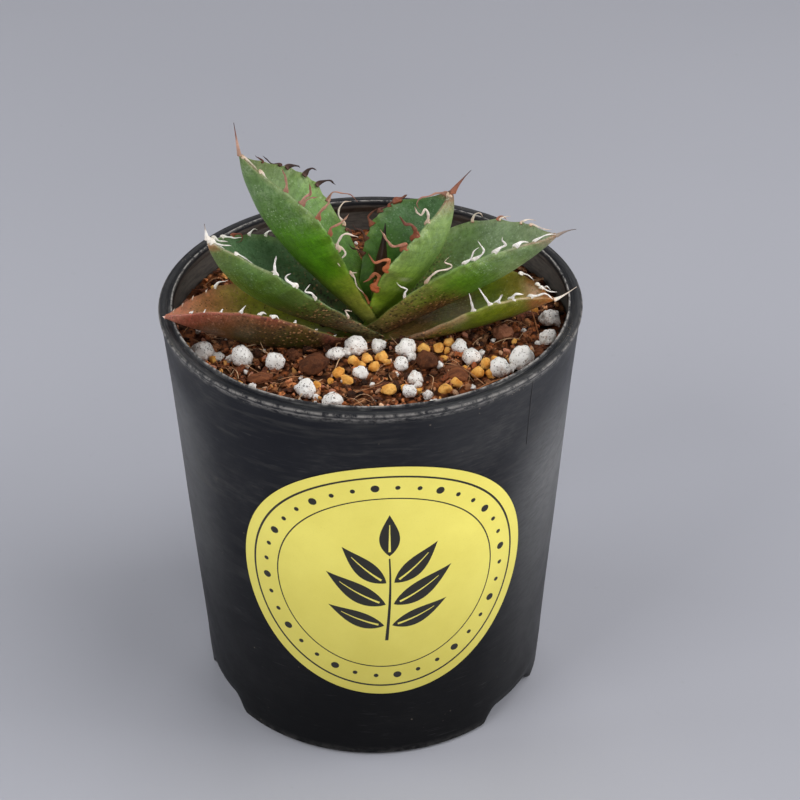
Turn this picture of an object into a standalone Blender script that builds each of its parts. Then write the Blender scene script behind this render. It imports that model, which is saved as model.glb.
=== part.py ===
"""Potted agave: a young two-ranked agave in a tall round nursery pot of black plastic, with a round sticker on the wall and a
coarse potting mix of coir, bark, perlite and baked-clay grains.

Metres, +Z up. The origin is on the pot's axis, in the plane of its feet. -Y is the front, where the label is.
"""

import math
import random

import bpy
import bmesh
from mathutils import Vector, noise

# ------------------------------------------------------------------ pot
RIM_RADIUS = 0.0525          # outer edge of the rim, a 105 mm pot
RIM_HEIGHT = 0.1119          # outer edge of the rim above the floor
BEAD_RADIUS = 0.0492         # crest of the raised bead along the inner edge of the rim
BEAD_RISE = 0.0005           # how far the bead stands above the outer edge
MOUTH_RADIUS = 0.0487        # clear opening inside the bead
FOOT_RADIUS = 0.0447         # outside of the foot
WALL_TOP_RADIUS = 0.0517     # outside of the conical wall, produced to the rim
WALL_FLARE = 0.0005          # extra radius of the wall just under the rim
WALL_FLARE_DEPTH = 0.0120    # depth over which the flare dies out
WALL_THICKNESS = 0.0014
FLOOR_TOP = 0.0064           # inside floor
FLOOR_THICKNESS = 0.0014
FOOT_BEVEL = 0.0008
POT_SEGMENTS = 60
CENTRE_HOLE_RADIUS = 0.0060
RING_HOLE_RADIUS = 0.0038
RING_HOLE_CIRCLE = 0.0260
RING_HOLES = 6
RING_HOLE_TURN = math.radians(1.7)
NOTCH_COUNT = 3              # drainage arches in the foot
NOTCH_FIRST = math.radians(55.4)   # centre of the first arch, from the front towards +X
NOTCH_HALF = math.radians(14.8)
NOTCH_FLAT = math.radians(9.0)
NOTCH_HEIGHT = 0.0043
GAP = 0.0003                 # clearance between pieces that touch

# ---------------------------------------------------------------- label
LABEL_RADIUS = 0.0370        # measured along the wall
LABEL_ANGLE = math.radians(4.5)    # centre, from the front towards +X
LABEL_HEIGHT = 0.0596        # centre above the floor
LABEL_THICKNESS = 0.00018
LABEL_GAP = 0.0003

# ----------------------------------------------------------------- soil
SOIL_LEVEL = 0.1043          # mean surface
SOIL_EDGE_DROP = 0.0009
SOIL_RELIEF = 0.0005
SOIL_DIP = 0.0028            # hollow around the plant's neck
SOIL_DIP_RADIUS = 0.0115
SOIL_SEGMENTS = 36
SOIL_RINGS = 8

# ---------------------------------------------------------------- plant
CROWN = Vector((0.0003, -0.0006, SOIL_LEVEL))
STEM_TOP_RADIUS = 0.0052
STEM_TOP = -0.0018           # below the soil level
STEM_DEPTH = 0.0165
STEM_ROOT_RADIUS = 0.0026
LEAF_STATIONS = 14
SPINE_STATIONS = 4
MARGIN_THICKNESS = 0.0005
TIP_HALF_WIDTH = 0.00050
TIP_TAPER = 0.4

# Millimetres and degrees. base: foot of the midrib. azimuth and elevation: direction of growth at the base, extra at the
# middle, and at the tip. half_width: at the base and at the widest place. point: how full the taper to the tip is.
# squeeze: how much of the width is left on either side at the base, where neighbours press on the leaf, back to full at the
# middle. channel: how far the margins rise, as a part of the half width, at the base and at the tip. roll: turn about the midrib at
# the base, extra at the middle, and at the tip. spine: bend and end of the terminal spine from the tip of the blade.
LEAVES = {
    "leaf_left_upper": dict(base=(-0.1, 1.5, 106.3), azimuth=(176, 3, 188), elevation=(49, -13, 80), length=55.0,
                            half_width=(4.5, 12.4), widest=0.55, point=1.61, channel=(0.62, 1.14), thick=2.5,
                            roll=(-2, 3, 0), start=0.05, spine=((-0.8, 0.5, 4.6), (-1.3, 0.8, 8.4))),
    "leaf_right_upper": dict(base=(0.8, 1.2, 105.5), azimuth=(8, -1, -3), elevation=(66, -23, 87), length=39.9,
                             half_width=(5.0, 11.2), widest=0.47, point=2.22, channel=(1.10, 0.83), thick=3.8,
                             roll=(0, 6, 3), start=0.05, squeeze=(0.75, 1.0), spine=((1.5, 0.4, 2.4), (4.7, 1.2, 5.4))),
    "leaf_right_middle": dict(base=(1.6, 0.0, 104.6), azimuth=(6, 1, -24), elevation=(32, -9, 45), length=52.3,
                              half_width=(5.0, 12.5), widest=0.45, point=1.97, channel=(0.76, 0.78), thick=3.4,
                              roll=(2, -3, 2), start=0.03, spine=((2.5, -0.4, 1.8), (4.8, -1.0, 2.2))),
    "leaf_left_middle": dict(base=(-1.6, -1.2, 104.4), azimuth=(191, 6, 202), elevation=(35, -22, 74), length=51.7,
                             half_width=(5.3, 11.8), widest=0.48, point=2.57, channel=(0.91, 0.71), thick=2.9,
                             roll=(-22, -2, 8), start=0.02, squeeze=(1.0, 0.45), spine=((-0.4, 0.2, 1.9), (-0.7, 0.3, 4.0))),
    "leaf_right_lower": dict(base=(5.3, -1.4, 103.2), azimuth=(-5, -4, 5), elevation=(14, 2, 11), length=41.1,
                             half_width=(5.1, 11.9), widest=0.48, point=2.43, channel=(0.27, 0.85), thick=2.4,
                             roll=(8, -4, -8), start=0.0, spine=((1.9, 0.3, 0.4), (5.7, 1.6, 2.6))),
    "leaf_left_lower": dict(base=(-6.0, -2.2, 103.1), azimuth=(196, 9, 177), elevation=(6, 7, 11), length=46.3,
                            half_width=(4.6, 11.3), widest=0.37, point=2.38, channel=(0.61, 0.94), thick=3.7,
                            roll=(-14, 8, 9), start=0.0, spine=((-0.3, 0.0, 0.0), (-0.7, 0.0, 0.1))),
}
# An outer leaf is grooved by the leaves that it clasps.
CLASPS = {
    "leaf_left_upper": ["bud"],
    "leaf_right_upper": ["bud", "leaf_left_upper"],
    "leaf_right_middle": ["bud", "leaf_left_upper", "leaf_right_upper"],
    "leaf_left_middle": ["bud", "leaf_left_upper", "leaf_right_upper", "leaf_right_middle"],
    "leaf_right_lower": ["leaf_right_upper", "leaf_right_middle", "leaf_left_middle"],
    "leaf_left_lower": ["leaf_left_upper", "leaf_left_middle", "leaf_right_middle", "leaf_right_lower"],
}
BUD_FOOT = (1.9, 1.5, 107.0)
BUD_TIP = (3.5, 2.0, 131.7)
BUD_RADIUS = 2.0
BUD_SHOULDER = 0.60          # where the dark spine starts
BUD_SHOULDER_RADIUS = 1.45

# --------------------------------------------------- grains on the soil
# name, x, y, radius (mm), length ratio, height ratio, turn (degrees)
PERLITE = [
    (-3.6, -11.9, 2.9, 1.15, 0.90, 20), (1.9, -10.9, 2.0, 1.20, 0.95, 75), (-8.6, -15.6, 1.9, 1.15, 0.85, 10),
    (8.7, -13.6, 2.5, 1.05, 1.00, 40), (7.6, -20.2, 2.1, 1.40, 1.00, 95), (10.9, -26.3, 2.0, 1.25, 0.85, 25),
    (9.4, -32.0, 1.9, 1.10, 0.95, 60), (-2.2, -24.4, 1.9, 1.05, 0.90, 0), (-15.2, -31.2, 2.5, 1.15, 0.95, 120),
    (-8.8, -36.1, 2.4, 1.20, 0.80, 10), (-41.0, -14.2, 2.9, 1.10, 0.90, 45), (-30.8, -17.6, 2.9, 1.05, 1.00, 80),
    (-23.2, -19.6, 2.7, 1.20, 0.95, 150), (21.9, -13.0, 2.1, 1.10, 0.95, 100), (24.6, -17.7, 2.4, 1.15, 0.95, 30),
    (31.2, -23.0, 2.7, 1.05, 0.95, 60), (36.6, -19.3, 3.1, 1.25, 1.05, 50), (44.6, 0.6, 2.6, 1.10, 0.90, 0),
    (43.9, -8.2, 2.4, 1.05, 0.90, 35),
]
CLAY = [
    (-7.6, -24.3, 1.6, 1.1, 1.0, 0), (-5.2, -27.6, 1.4, 1.1, 1.0, 30), (-4.2, -17.9, 1.4, 1.1, 1.0, 60),
    (-0.7, -17.3, 1.5, 1.2, 0.9, 10), (3.0, -16.5, 1.5, 1.1, 1.0, 80), (1.0, -21.2, 1.6, 1.2, 0.9, 45),
    (4.6, -31.2, 1.9, 1.2, 0.9, 20), (13.0, -13.6, 1.6, 1.1, 1.0, 15), (16.7, -12.9, 1.5, 1.1, 1.0, 50),
    (27.9, -20.3, 1.6, 1.1, 1.0, 70), (25.9, -24.3, 1.8, 1.2, 0.9, 25), (18.0, -31.0, 1.8, 1.3, 0.9, 35),
]
CRUMB = [
    (-13.7, -21.6, 3.7, 1.25, 0.85, 15), (-18.6, -15.9, 1.9, 1.2, 0.85, 70), (14.0, -19.6, 3.0, 1.25, 0.90, 140),
    (32.9, -6.6, 2.9, 1.30, 0.80, 10),
]
BARK = [
    (20.9, -24.3, 3.2, 1.5, 0.45, 115), (-26.6, -25.6, 2.6, 1.8, 0.45, 20), (41.4, -14.4, 1.6, 1.5, 0.6, 60),
]


def clean():
    for ob in list(bpy.data.objects):
        bpy.data.objects.remove(ob, do_unlink=True)


def material(name, colour, roughness, metallic=0.0):
    mat = bpy.data.materials.new(name)
    mat.use_nodes = True
    shader = mat.node_tree.nodes["Principled BSDF"]
    shader.inputs["Base Color"].default_value = (*colour, 1.0)
    shader.inputs["Roughness"].default_value = roughness
    shader.inputs["Metallic"].default_value = metallic
    return mat


def add(name, bm, mat=None, smooth=math.radians(35), cutter=False):
    bmesh.ops.recalc_face_normals(bm, faces=bm.faces)
    mesh = bpy.data.meshes.new(name)
    bm.to_mesh(mesh)
    bm.free()
    if mat:
        mesh.materials.append(mat)
    mesh.shade_smooth()
    mesh.set_sharp_from_angle(angle=smooth)
    ob = bpy.data.objects.new(name, mesh)
    bpy.context.scene.collection.objects.link(ob)
    if cutter:
        ob.hide_render = True
        ob.display_type = "WIRE"
    return ob


def subtract(ob, cutters):
    for cutter in cutters:
        mod = ob.modifiers.new("less_" + cutter.name, "BOOLEAN")
        mod.operation = "DIFFERENCE"
        mod.solver = "EXACT"
        mod.object = cutter


def stack(bm, rings, closed_loop=False, caps=True):
    """Bridge rings of vertices that all hold the same number of points."""
    rows = [[bm.verts.new(p) for p in ring] for ring in rings]
    n = len(rows[0])
    pairs = list(zip(rows, rows[1:]))
    if closed_loop:
        pairs.append((rows[-1], rows[0]))
    for a, b in pairs:
        for i in range(n):
            j = (i + 1) % n
            bm.faces.new((a[i], a[j], b[j], b[i]))
    if caps and not closed_loop:
        bm.faces.new(list(reversed(rows[0])))
        bm.faces.new(rows[-1])
    return rows


# ------------------------------------------------------------------ pot
def wall_radius(z):
    cone = FOOT_RADIUS + (WALL_TOP_RADIUS - FOOT_RADIUS) * z / RIM_HEIGHT
    return cone + WALL_FLARE * math.exp(-(RIM_HEIGHT - z) / WALL_FLARE_DEPTH)


def inner_radius(z):
    return wall_radius(z) - WALL_THICKNESS


def notch_rise(angle):
    """Height of the foot's edge above the floor at an angle from the front."""
    best = 0.0
    for k in range(NOTCH_COUNT):
        centre = NOTCH_FIRST + k * math.tau / NOTCH_COUNT
        off = abs((angle - centre + math.pi) % math.tau - math.pi)
        if off < NOTCH_HALF:
            ease = min(1.0, (NOTCH_HALF - off) / (NOTCH_HALF - NOTCH_FLAT))
            best = max(best, NOTCH_HEIGHT * math.sin(ease * math.pi / 2))
    return best


def pot_profile():
    """Closed outline in (radius, height, follows_notch), from the centre hole's lower edge outwards and back."""
    top = RIM_HEIGHT
    pts = [(CENTRE_HOLE_RADIUS, FLOOR_TOP - FLOOR_THICKNESS, 0)]
    pts.append((inner_radius(0.005) - 0.0012, FLOOR_TOP - FLOOR_THICKNESS, 0))
    pts.append((inner_radius(0.0) - 0.0002, 0.0, 1))
    pts.append((FOOT_RADIUS - FOOT_BEVEL, 0.0, 1))
    pts.append((FOOT_RADIUS, FOOT_BEVEL, 1))
    for z in (0.0075, 0.050, 0.092, top - 0.0060):
        pts.append((wall_radius(z), z, 0))
    pts.append((RIM_RADIUS - 0.0003, top - 0.0012, 0))
    pts.append((RIM_RADIUS, top - 0.0005, 0))
    pts.append((RIM_RADIUS - 0.0002, top, 0))
    pts.append((RIM_RADIUS - 0.0010, top + 0.00025, 0))
    pts.append((BEAD_RADIUS + 0.0004, top - 0.0001, 0))
    pts.append((BEAD_RADIUS + 0.0002, top + BEAD_RISE, 0))
    pts.append((BEAD_RADIUS - 0.0002, top + BEAD_RISE, 0))
    pts.append((MOUTH_RADIUS, top - 0.0002, 0))
    pts.append((MOUTH_RADIUS + 0.0001, top - 0.0014, 0))
    pts.append((inner_radius(top - 0.0036), top - 0.0036, 0))
    for z in (0.050,):
        pts.append((inner_radius(z), z, 0))
    pts.append((inner_radius(0.0080), 0.0080, 0))
    pts.append((inner_radius(0.0064) - 0.0014, FLOOR_TOP, 0))
    pts.append((CENTRE_HOLE_RADIUS, FLOOR_TOP, 0))
    return pts


def build_pot():
    bm = bmesh.new()
    profile = pot_profile()
    rings = []
    for k in range(POT_SEGMENTS):
        a = math.tau * k / POT_SEGMENTS
        ring = []
        for r, z, follows in profile:
            lift = notch_rise(a) if follows else 0.0
            ring.append((r * math.sin(a), -r * math.cos(a), z + lift))
        rings.append(ring)
    stack(bm, rings, closed_loop=True)
    pot = add("pot", bm, material("black_plastic", (0.020, 0.021, 0.024), 0.55))
    for k in range(RING_HOLES):
        a = math.tau * (k + 0.5) / RING_HOLES + RING_HOLE_TURN
        bm = bmesh.new()
        bmesh.ops.create_cone(bm, cap_ends=True, segments=20, radius1=RING_HOLE_RADIUS, radius2=RING_HOLE_RADIUS, depth=0.006)
        bmesh.ops.translate(bm, verts=bm.verts, vec=(RING_HOLE_CIRCLE * math.sin(a), -RING_HOLE_CIRCLE * math.cos(a), FLOOR_TOP - FLOOR_THICKNESS / 2))
        subtract(pot, [add("drain_hole_%d" % (k + 1), bm, cutter=True)])
    return pot


# ---------------------------------------------------------------- label
def label_point(u, v, lift):
    """u and v run along the wall from the label's centre, on the unrolled cone."""
    slope = (WALL_TOP_RADIUS - FOOT_RADIUS) / RIM_HEIGHT
    half = math.atan(slope)
    r0 = FOOT_RADIUS + slope * LABEL_HEIGHT
    rho0 = r0 / math.sin(half)
    x, y = u, rho0 + v
    rho = math.hypot(x, y)
    theta = math.atan2(x, y)
    z = LABEL_HEIGHT + (rho - rho0) * math.cos(half)
    a = LABEL_ANGLE + theta / math.sin(half)
    r = wall_radius(z) + lift
    return (r * math.sin(a), -r * math.cos(a), z)


def build_label():
    """A round sheet made of upright strips, so that it follows the curve of the wall closely."""
    bm = bmesh.new()
    strips, rows = 34, 4
    sheets = []
    for lift in (LABEL_GAP, LABEL_GAP + LABEL_THICKNESS):
        columns = []
        for k in range(strips + 1):
            a = math.radians(-85 + 170 * k / strips)
            columns.append([bm.verts.new(label_point(LABEL_RADIUS * math.sin(a), LABEL_RADIUS * math.cos(a) * (2 * j / rows - 1), lift)) for j in range(rows + 1)])
        for a, b in zip(columns, columns[1:]):
            for j in range(rows):
                bm.faces.new((a[j], b[j], b[j + 1], a[j + 1]))
        sheets.append([c[0] for c in columns] + columns[-1][1:] + [c[-1] for c in reversed(columns[:-1])] + list(reversed(columns[0][1:-1])))
    n = len(sheets[0])
    for k in range(n):
        j = (k + 1) % n
        bm.faces.new((sheets[0][k], sheets[1][k], sheets[1][j], sheets[0][j]))
    return add("label", bm, material("yellow_vinyl", (0.62, 0.55, 0.11), 0.45))


# ----------------------------------------------------------------- soil
def soil_height(x, y):
    r = math.hypot(x, y)
    h = SOIL_LEVEL - SOIL_EDGE_DROP * (r / inner_radius(SOIL_LEVEL)) ** 2
    h += SOIL_RELIEF * noise.noise(Vector((x * 110, y * 110, 3.7)))
    d = math.hypot(x - CROWN.x, y - CROWN.y) / SOIL_DIP_RADIUS
    h -= SOIL_DIP * math.exp(-d * d)
    return h


def build_soil():
    bm = bmesh.new()

    def ring(r, z=None):
        out = []
        for k in range(SOIL_SEGMENTS):
            a = math.tau * k / SOIL_SEGMENTS
            x, y = r * math.sin(a), -r * math.cos(a)
            out.append((x, y, soil_height(x, y) if z is None else z))
        return out

    top = SOIL_LEVEL - 0.004
    rings = []
    for z in (FLOOR_TOP + GAP, 0.0084, 0.040, 0.075, top):
        inset = 0.0016 if z < 0.008 else 0.0
        rings.append(ring(inner_radius(z) - GAP - 0.00015 - inset, z))
    edge = inner_radius(SOIL_LEVEL) - GAP - 0.00015
    for i in range(SOIL_RINGS):
        rings.append(ring(edge * (1.0 - (i / SOIL_RINGS)) + 0.0012 * (i / SOIL_RINGS)))
    rows = stack(bm, rings, caps=False)
    bm.faces.new(list(reversed(rows[0])))
    crown = bm.verts.new((0, 0, soil_height(0, 0)))
    for i in range(SOIL_SEGMENTS):
        bm.faces.new((rows[-1][i], rows[-1][(i + 1) % SOIL_SEGMENTS], crown))
    return add("soil_mix", bm, material("coir_mix", (0.12, 0.055, 0.028), 0.95))


# --------------------------------------------------------------- leaves
def bend(a, m, b, t):
    return a + (b - a) * t + 4.0 * m * t * (1.0 - t)


def leaf_frames(leaf, stations, start):
    """Midrib points with tangent, width and face directions, half width, depth, channel and the two sides' shares of the width."""
    fine = 240
    p = Vector(leaf["base"]) * 0.001
    step = leaf["length"] * 0.001 / fine
    last = None
    track = []
    for i in range(fine + 1):
        t = i / fine
        az = math.radians(bend(*leaf["azimuth"], t))
        el = math.radians(bend(*leaf["elevation"], t))
        d = Vector((math.cos(el) * math.cos(az), math.cos(el) * math.sin(az), math.sin(el)))
        if last is not None:
            p = p + (last + d) * 0.5 * step
        last = d
        side = Vector((-math.sin(az), math.cos(az), 0.0))
        face = d.cross(side)
        roll = math.radians(bend(*leaf["roll"], t))
        track.append((p.copy(), d, side * math.cos(roll) + face * math.sin(roll), face * math.cos(roll) - side * math.sin(roll)))
    out = []
    for i in range(stations + 1):
        t = start + (1.0 - start) * (1.0 - (1.0 - i / stations) ** 1.15)
        f = min(int(t * fine), fine - 1)
        k = t * fine - f
        (p0, d0, s0, n0), (p1, d1, s1, n1) = track[f], track[f + 1]
        if t < leaf["widest"]:
            w = leaf["half_width"][0] + (leaf["half_width"][1] - leaf["half_width"][0]) * math.sin(math.pi / 2 * t / leaf["widest"])
        else:
            w = leaf["half_width"][1] * (1.0 - ((t - leaf["widest"]) / (1.0 - leaf["widest"])) ** leaf["point"])
        w = math.hypot(max(w, 0.0) * 0.001, TIP_HALF_WIDTH)
        depth = leaf["thick"] * 0.001 * (1.0 - t ** 2.5) + 0.0004
        chan = leaf["channel"][0] + (leaf["channel"][1] - leaf["channel"][0]) * t
        back = 0.5 - 0.5 * math.cos(math.pi * min(1.0, t / 0.55))
        share = [q + (1.0 - q) * back for q in leaf.get("squeeze", (1.0, 1.0))]
        out.append((p0.lerp(p1, k), d0.lerp(d1, k).normalized(), s0.lerp(s1, k).normalized(), n0.lerp(n1, k).normalized(), w, depth, chan, share))
    return out


def leaf_mesh(leaf, grow=0.0):
    """Closed blade with its terminal spine. grow thickens it all over, for the space that it needs."""
    across = 6
    bm = bmesh.new()
    rings = []
    frames = leaf_frames(leaf, LEAF_STATIONS, leaf["start"])
    for i, (p, d, s, n, w, depth, chan, share) in enumerate(frames):
        if grow and i == 0:
            p = p - d * grow
        ring = []
        edge = min(MARGIN_THICKNESS, depth * 0.6)
        for k in range(across):
            c = 1.0 - 2.0 * k / (across - 1)
            half = w * share[0 if c > 0 else 1]
            ring.append(p + s * (half + grow) * c + n * (chan * half * c * c + grow))
        for k in range(across):
            c = -1.0 + 2.0 * k / (across - 1)
            half = w * share[0 if c > 0 else 1]
            belly = edge + (depth - edge) * math.sqrt(max(0.0, 1.0 - c * c))
            ring.append(p + s * (half + grow) * c + n * (chan * half * c * c - belly - grow))
        rings.append(ring)
    tip, d, s, n = frames[-1][:4]
    mid, end = (Vector(v) * 0.001 for v in leaf["spine"])
    for i in range(1, SPINE_STATIONS + 1):
        t = i / SPINE_STATIONS
        p = tip + mid * 2 * t * (1 - t) + end * t * t
        fwd = (mid * (2 - 4 * t) + end * 2 * t).normalized()
        side = (s - fwd * s.dot(fwd)).normalized()
        up = side.cross(fwd)
        if up.dot(n) < 0:
            up = -up
        r = TIP_HALF_WIDTH * (0.85 * (1 - t) + 0.16) + grow
        if i == SPINE_STATIONS:
            p = p + fwd * grow
        ring = []
        for k in range(2 * across):
            a = math.pi * k / (across - 1) if k < across else math.pi + math.pi * (k - across) / (across - 1)
            a += (0.12 if k in (0, across) else 0.0) - (0.12 if k in (across - 1, 2 * across - 1) else 0.0)
            ring.append(p + side * r * math.cos(a) + up * r * math.sin(a) - n * 0.0002 * (1 - t))
        rings.append(ring)
    stack(bm, rings)
    return bm


def bud_mesh(grow=0.0):
    foot, tip = Vector(BUD_FOOT) * 0.001, Vector(BUD_TIP) * 0.001
    axis = (tip - foot).normalized()
    side = axis.cross(Vector((0, 1, 0))).normalized()
    up = side.cross(axis)
    bm = bmesh.new()
    rings = []
    for t, r in ((0.0, BUD_RADIUS), (0.3, BUD_RADIUS * 0.97), (BUD_SHOULDER, BUD_SHOULDER_RADIUS), (0.75, 0.80), (0.9, 0.38), (1.0, 0.12)):
        c = foot + (tip - foot) * t
        if t == 0.0:
            c = c - axis * grow
        if t == 1.0:
            c = c + axis * grow
        r = r * 0.001 + grow
        rings.append([c + side * r * math.cos(math.tau * k / 12) + up * r * math.sin(math.tau * k / 12) for k in range(12)])
    stack(bm, rings)
    return bm


def stem_mesh(grow=0.0):
    bm = bmesh.new()
    rings = []
    top = SOIL_LEVEL + STEM_TOP
    for dz, r in ((-STEM_DEPTH, STEM_ROOT_RADIUS * 0.45), (-STEM_DEPTH + 0.0015, STEM_ROOT_RADIUS), (-0.008, STEM_TOP_RADIUS * 0.85),
                  (-0.003, STEM_TOP_RADIUS), (-0.0008, STEM_TOP_RADIUS), (0.0, STEM_TOP_RADIUS * 0.8)):
        z = top + dz
        if dz == 0.0:
            z += grow
        if dz == -STEM_DEPTH:
            z -= grow
        rings.append([(CROWN.x + (r + grow) * math.cos(math.tau * k / 20), CROWN.y + (r + grow) * math.sin(math.tau * k / 20), z) for k in range(20)])
    stack(bm, rings)
    return bm


# --------------------------------------------------------------- grains
def grain_mesh(x, y, radius, length, height, turn, seed, rough):
    """A stone lying on the soil, with a flat underside."""
    rng = random.Random(seed)
    shift = Vector((rng.uniform(-9, 9), rng.uniform(-9, 9), rng.uniform(-9, 9)))
    bm = bmesh.new()
    bmesh.ops.create_icosphere(bm, subdivisions=2, radius=1.0)
    rest = max(soil_height(x + radius * 0.001 * length * math.cos(a), y + radius * 0.001 * length * math.sin(a))
               for a in (k * math.tau / 12 for k in range(12)))
    rest = max(rest, soil_height(x, y)) + GAP
    c, s = math.cos(math.radians(turn)), math.sin(math.radians(turn))
    lift = rest + radius * 0.001 * height * 0.50
    for v in bm.verts:
        q = v.co * (1.0 + rough * noise.noise(v.co * 1.6 + shift))
        px, py, pz = q.x * radius * math.sqrt(length), q.y * radius / math.sqrt(length), q.z * radius * height
        v.co = Vector((x + (px * c - py * s) * 0.001, y + (px * s + py * c) * 0.001, max(lift + pz * 0.001, rest)))
    return bm


def build_grains():
    kinds = (
        ("perlite", PERLITE, material("perlite_white", (0.72, 0.69, 0.64), 0.9), 0.35),
        ("clay_grain", CLAY, material("clay_orange", (0.62, 0.33, 0.08), 0.85), 0.30),
        ("soil_crumb", CRUMB, material("crumb_brown", (0.11, 0.045, 0.022), 0.95), 0.45),
        ("bark_chip", BARK, material("bark_brown", (0.20, 0.085, 0.04), 0.9), 0.30),
    )
    for name, rows, mat, rough in kinds:
        for i, (x, y, radius, length, height, turn) in enumerate(rows):
            add("%s_%02d" % (name, i + 1), grain_mesh(x * 0.001, y * 0.001, radius, length, height, turn, 100 * len(name) + i, rough), mat, smooth=math.radians(60))


clean()
build_pot()
build_label()
soil = build_soil()

green = {
    "leaf_left_upper": (0.13, 0.27, 0.05), "leaf_right_upper": (0.09, 0.24, 0.05), "leaf_right_middle": (0.12, 0.26, 0.08),
    "leaf_left_middle": (0.08, 0.20, 0.05), "leaf_right_lower": (0.22, 0.30, 0.04), "leaf_left_lower": (0.24, 0.11, 0.05),
}
spaces = {"bud": add("space_bud", bud_mesh(GAP), cutter=True)}
stem_space = add("space_stem", stem_mesh(GAP), cutter=True)
for name, leaf in LEAVES.items():
    spaces[name] = add("space_" + name, leaf_mesh(leaf, GAP), cutter=True)
add("bud", bud_mesh(), material("bud_brown", (0.07, 0.035, 0.02), 0.5))
stem = add("stem", stem_mesh(), material("stem_tan", (0.30, 0.24, 0.12), 0.8))
subtract(stem, list(spaces.values()))
for name, leaf in LEAVES.items():
    ob = add(name, leaf_mesh(leaf), material(name + "_green", green[name], 0.45))
    subtract(ob, [spaces[k] for k in CLASPS[name]])
subtract(soil, [stem_space] + list(spaces.values()))
build_grains()
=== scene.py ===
"""Looks of the potted agave: fine leaves with horny teeth, potting mix, pot and sticker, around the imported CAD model.

Metres, +Z up, the same frame as the CAD: origin on the pot's axis in the plane of its feet, -Y towards the sticker.
"""
import math
import random

import bmesh
import bpy
import numpy as np
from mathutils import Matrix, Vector, noise
from mathutils.geometry import delaunay_2d_cdt


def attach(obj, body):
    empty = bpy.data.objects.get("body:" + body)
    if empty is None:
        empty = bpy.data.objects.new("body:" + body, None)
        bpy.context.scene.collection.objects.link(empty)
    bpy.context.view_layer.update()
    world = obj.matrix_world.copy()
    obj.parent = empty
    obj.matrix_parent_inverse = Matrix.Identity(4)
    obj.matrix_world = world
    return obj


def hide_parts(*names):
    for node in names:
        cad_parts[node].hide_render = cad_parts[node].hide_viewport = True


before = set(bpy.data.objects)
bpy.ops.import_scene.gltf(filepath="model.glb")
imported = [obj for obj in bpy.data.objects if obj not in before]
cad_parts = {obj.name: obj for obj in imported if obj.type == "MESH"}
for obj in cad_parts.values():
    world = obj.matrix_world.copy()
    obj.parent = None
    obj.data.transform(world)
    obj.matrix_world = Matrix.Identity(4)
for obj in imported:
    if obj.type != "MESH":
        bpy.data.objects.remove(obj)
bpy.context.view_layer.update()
SCENE = bpy.context.scene
MM = 0.001


# ============================================================ helpers
def lin(rgb, gain=1.0):
    """sRGB 0-255 to linear."""
    out = []
    for v in rgb:
        v = v / 255.0
        out.append(gain * (v / 12.92 if v <= 0.04045 else ((v + 0.055) / 1.055) ** 2.4))
    return tuple(out)


def lin4(rgb, gain=1.0):
    return (*lin(rgb, gain), 1.0)


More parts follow.
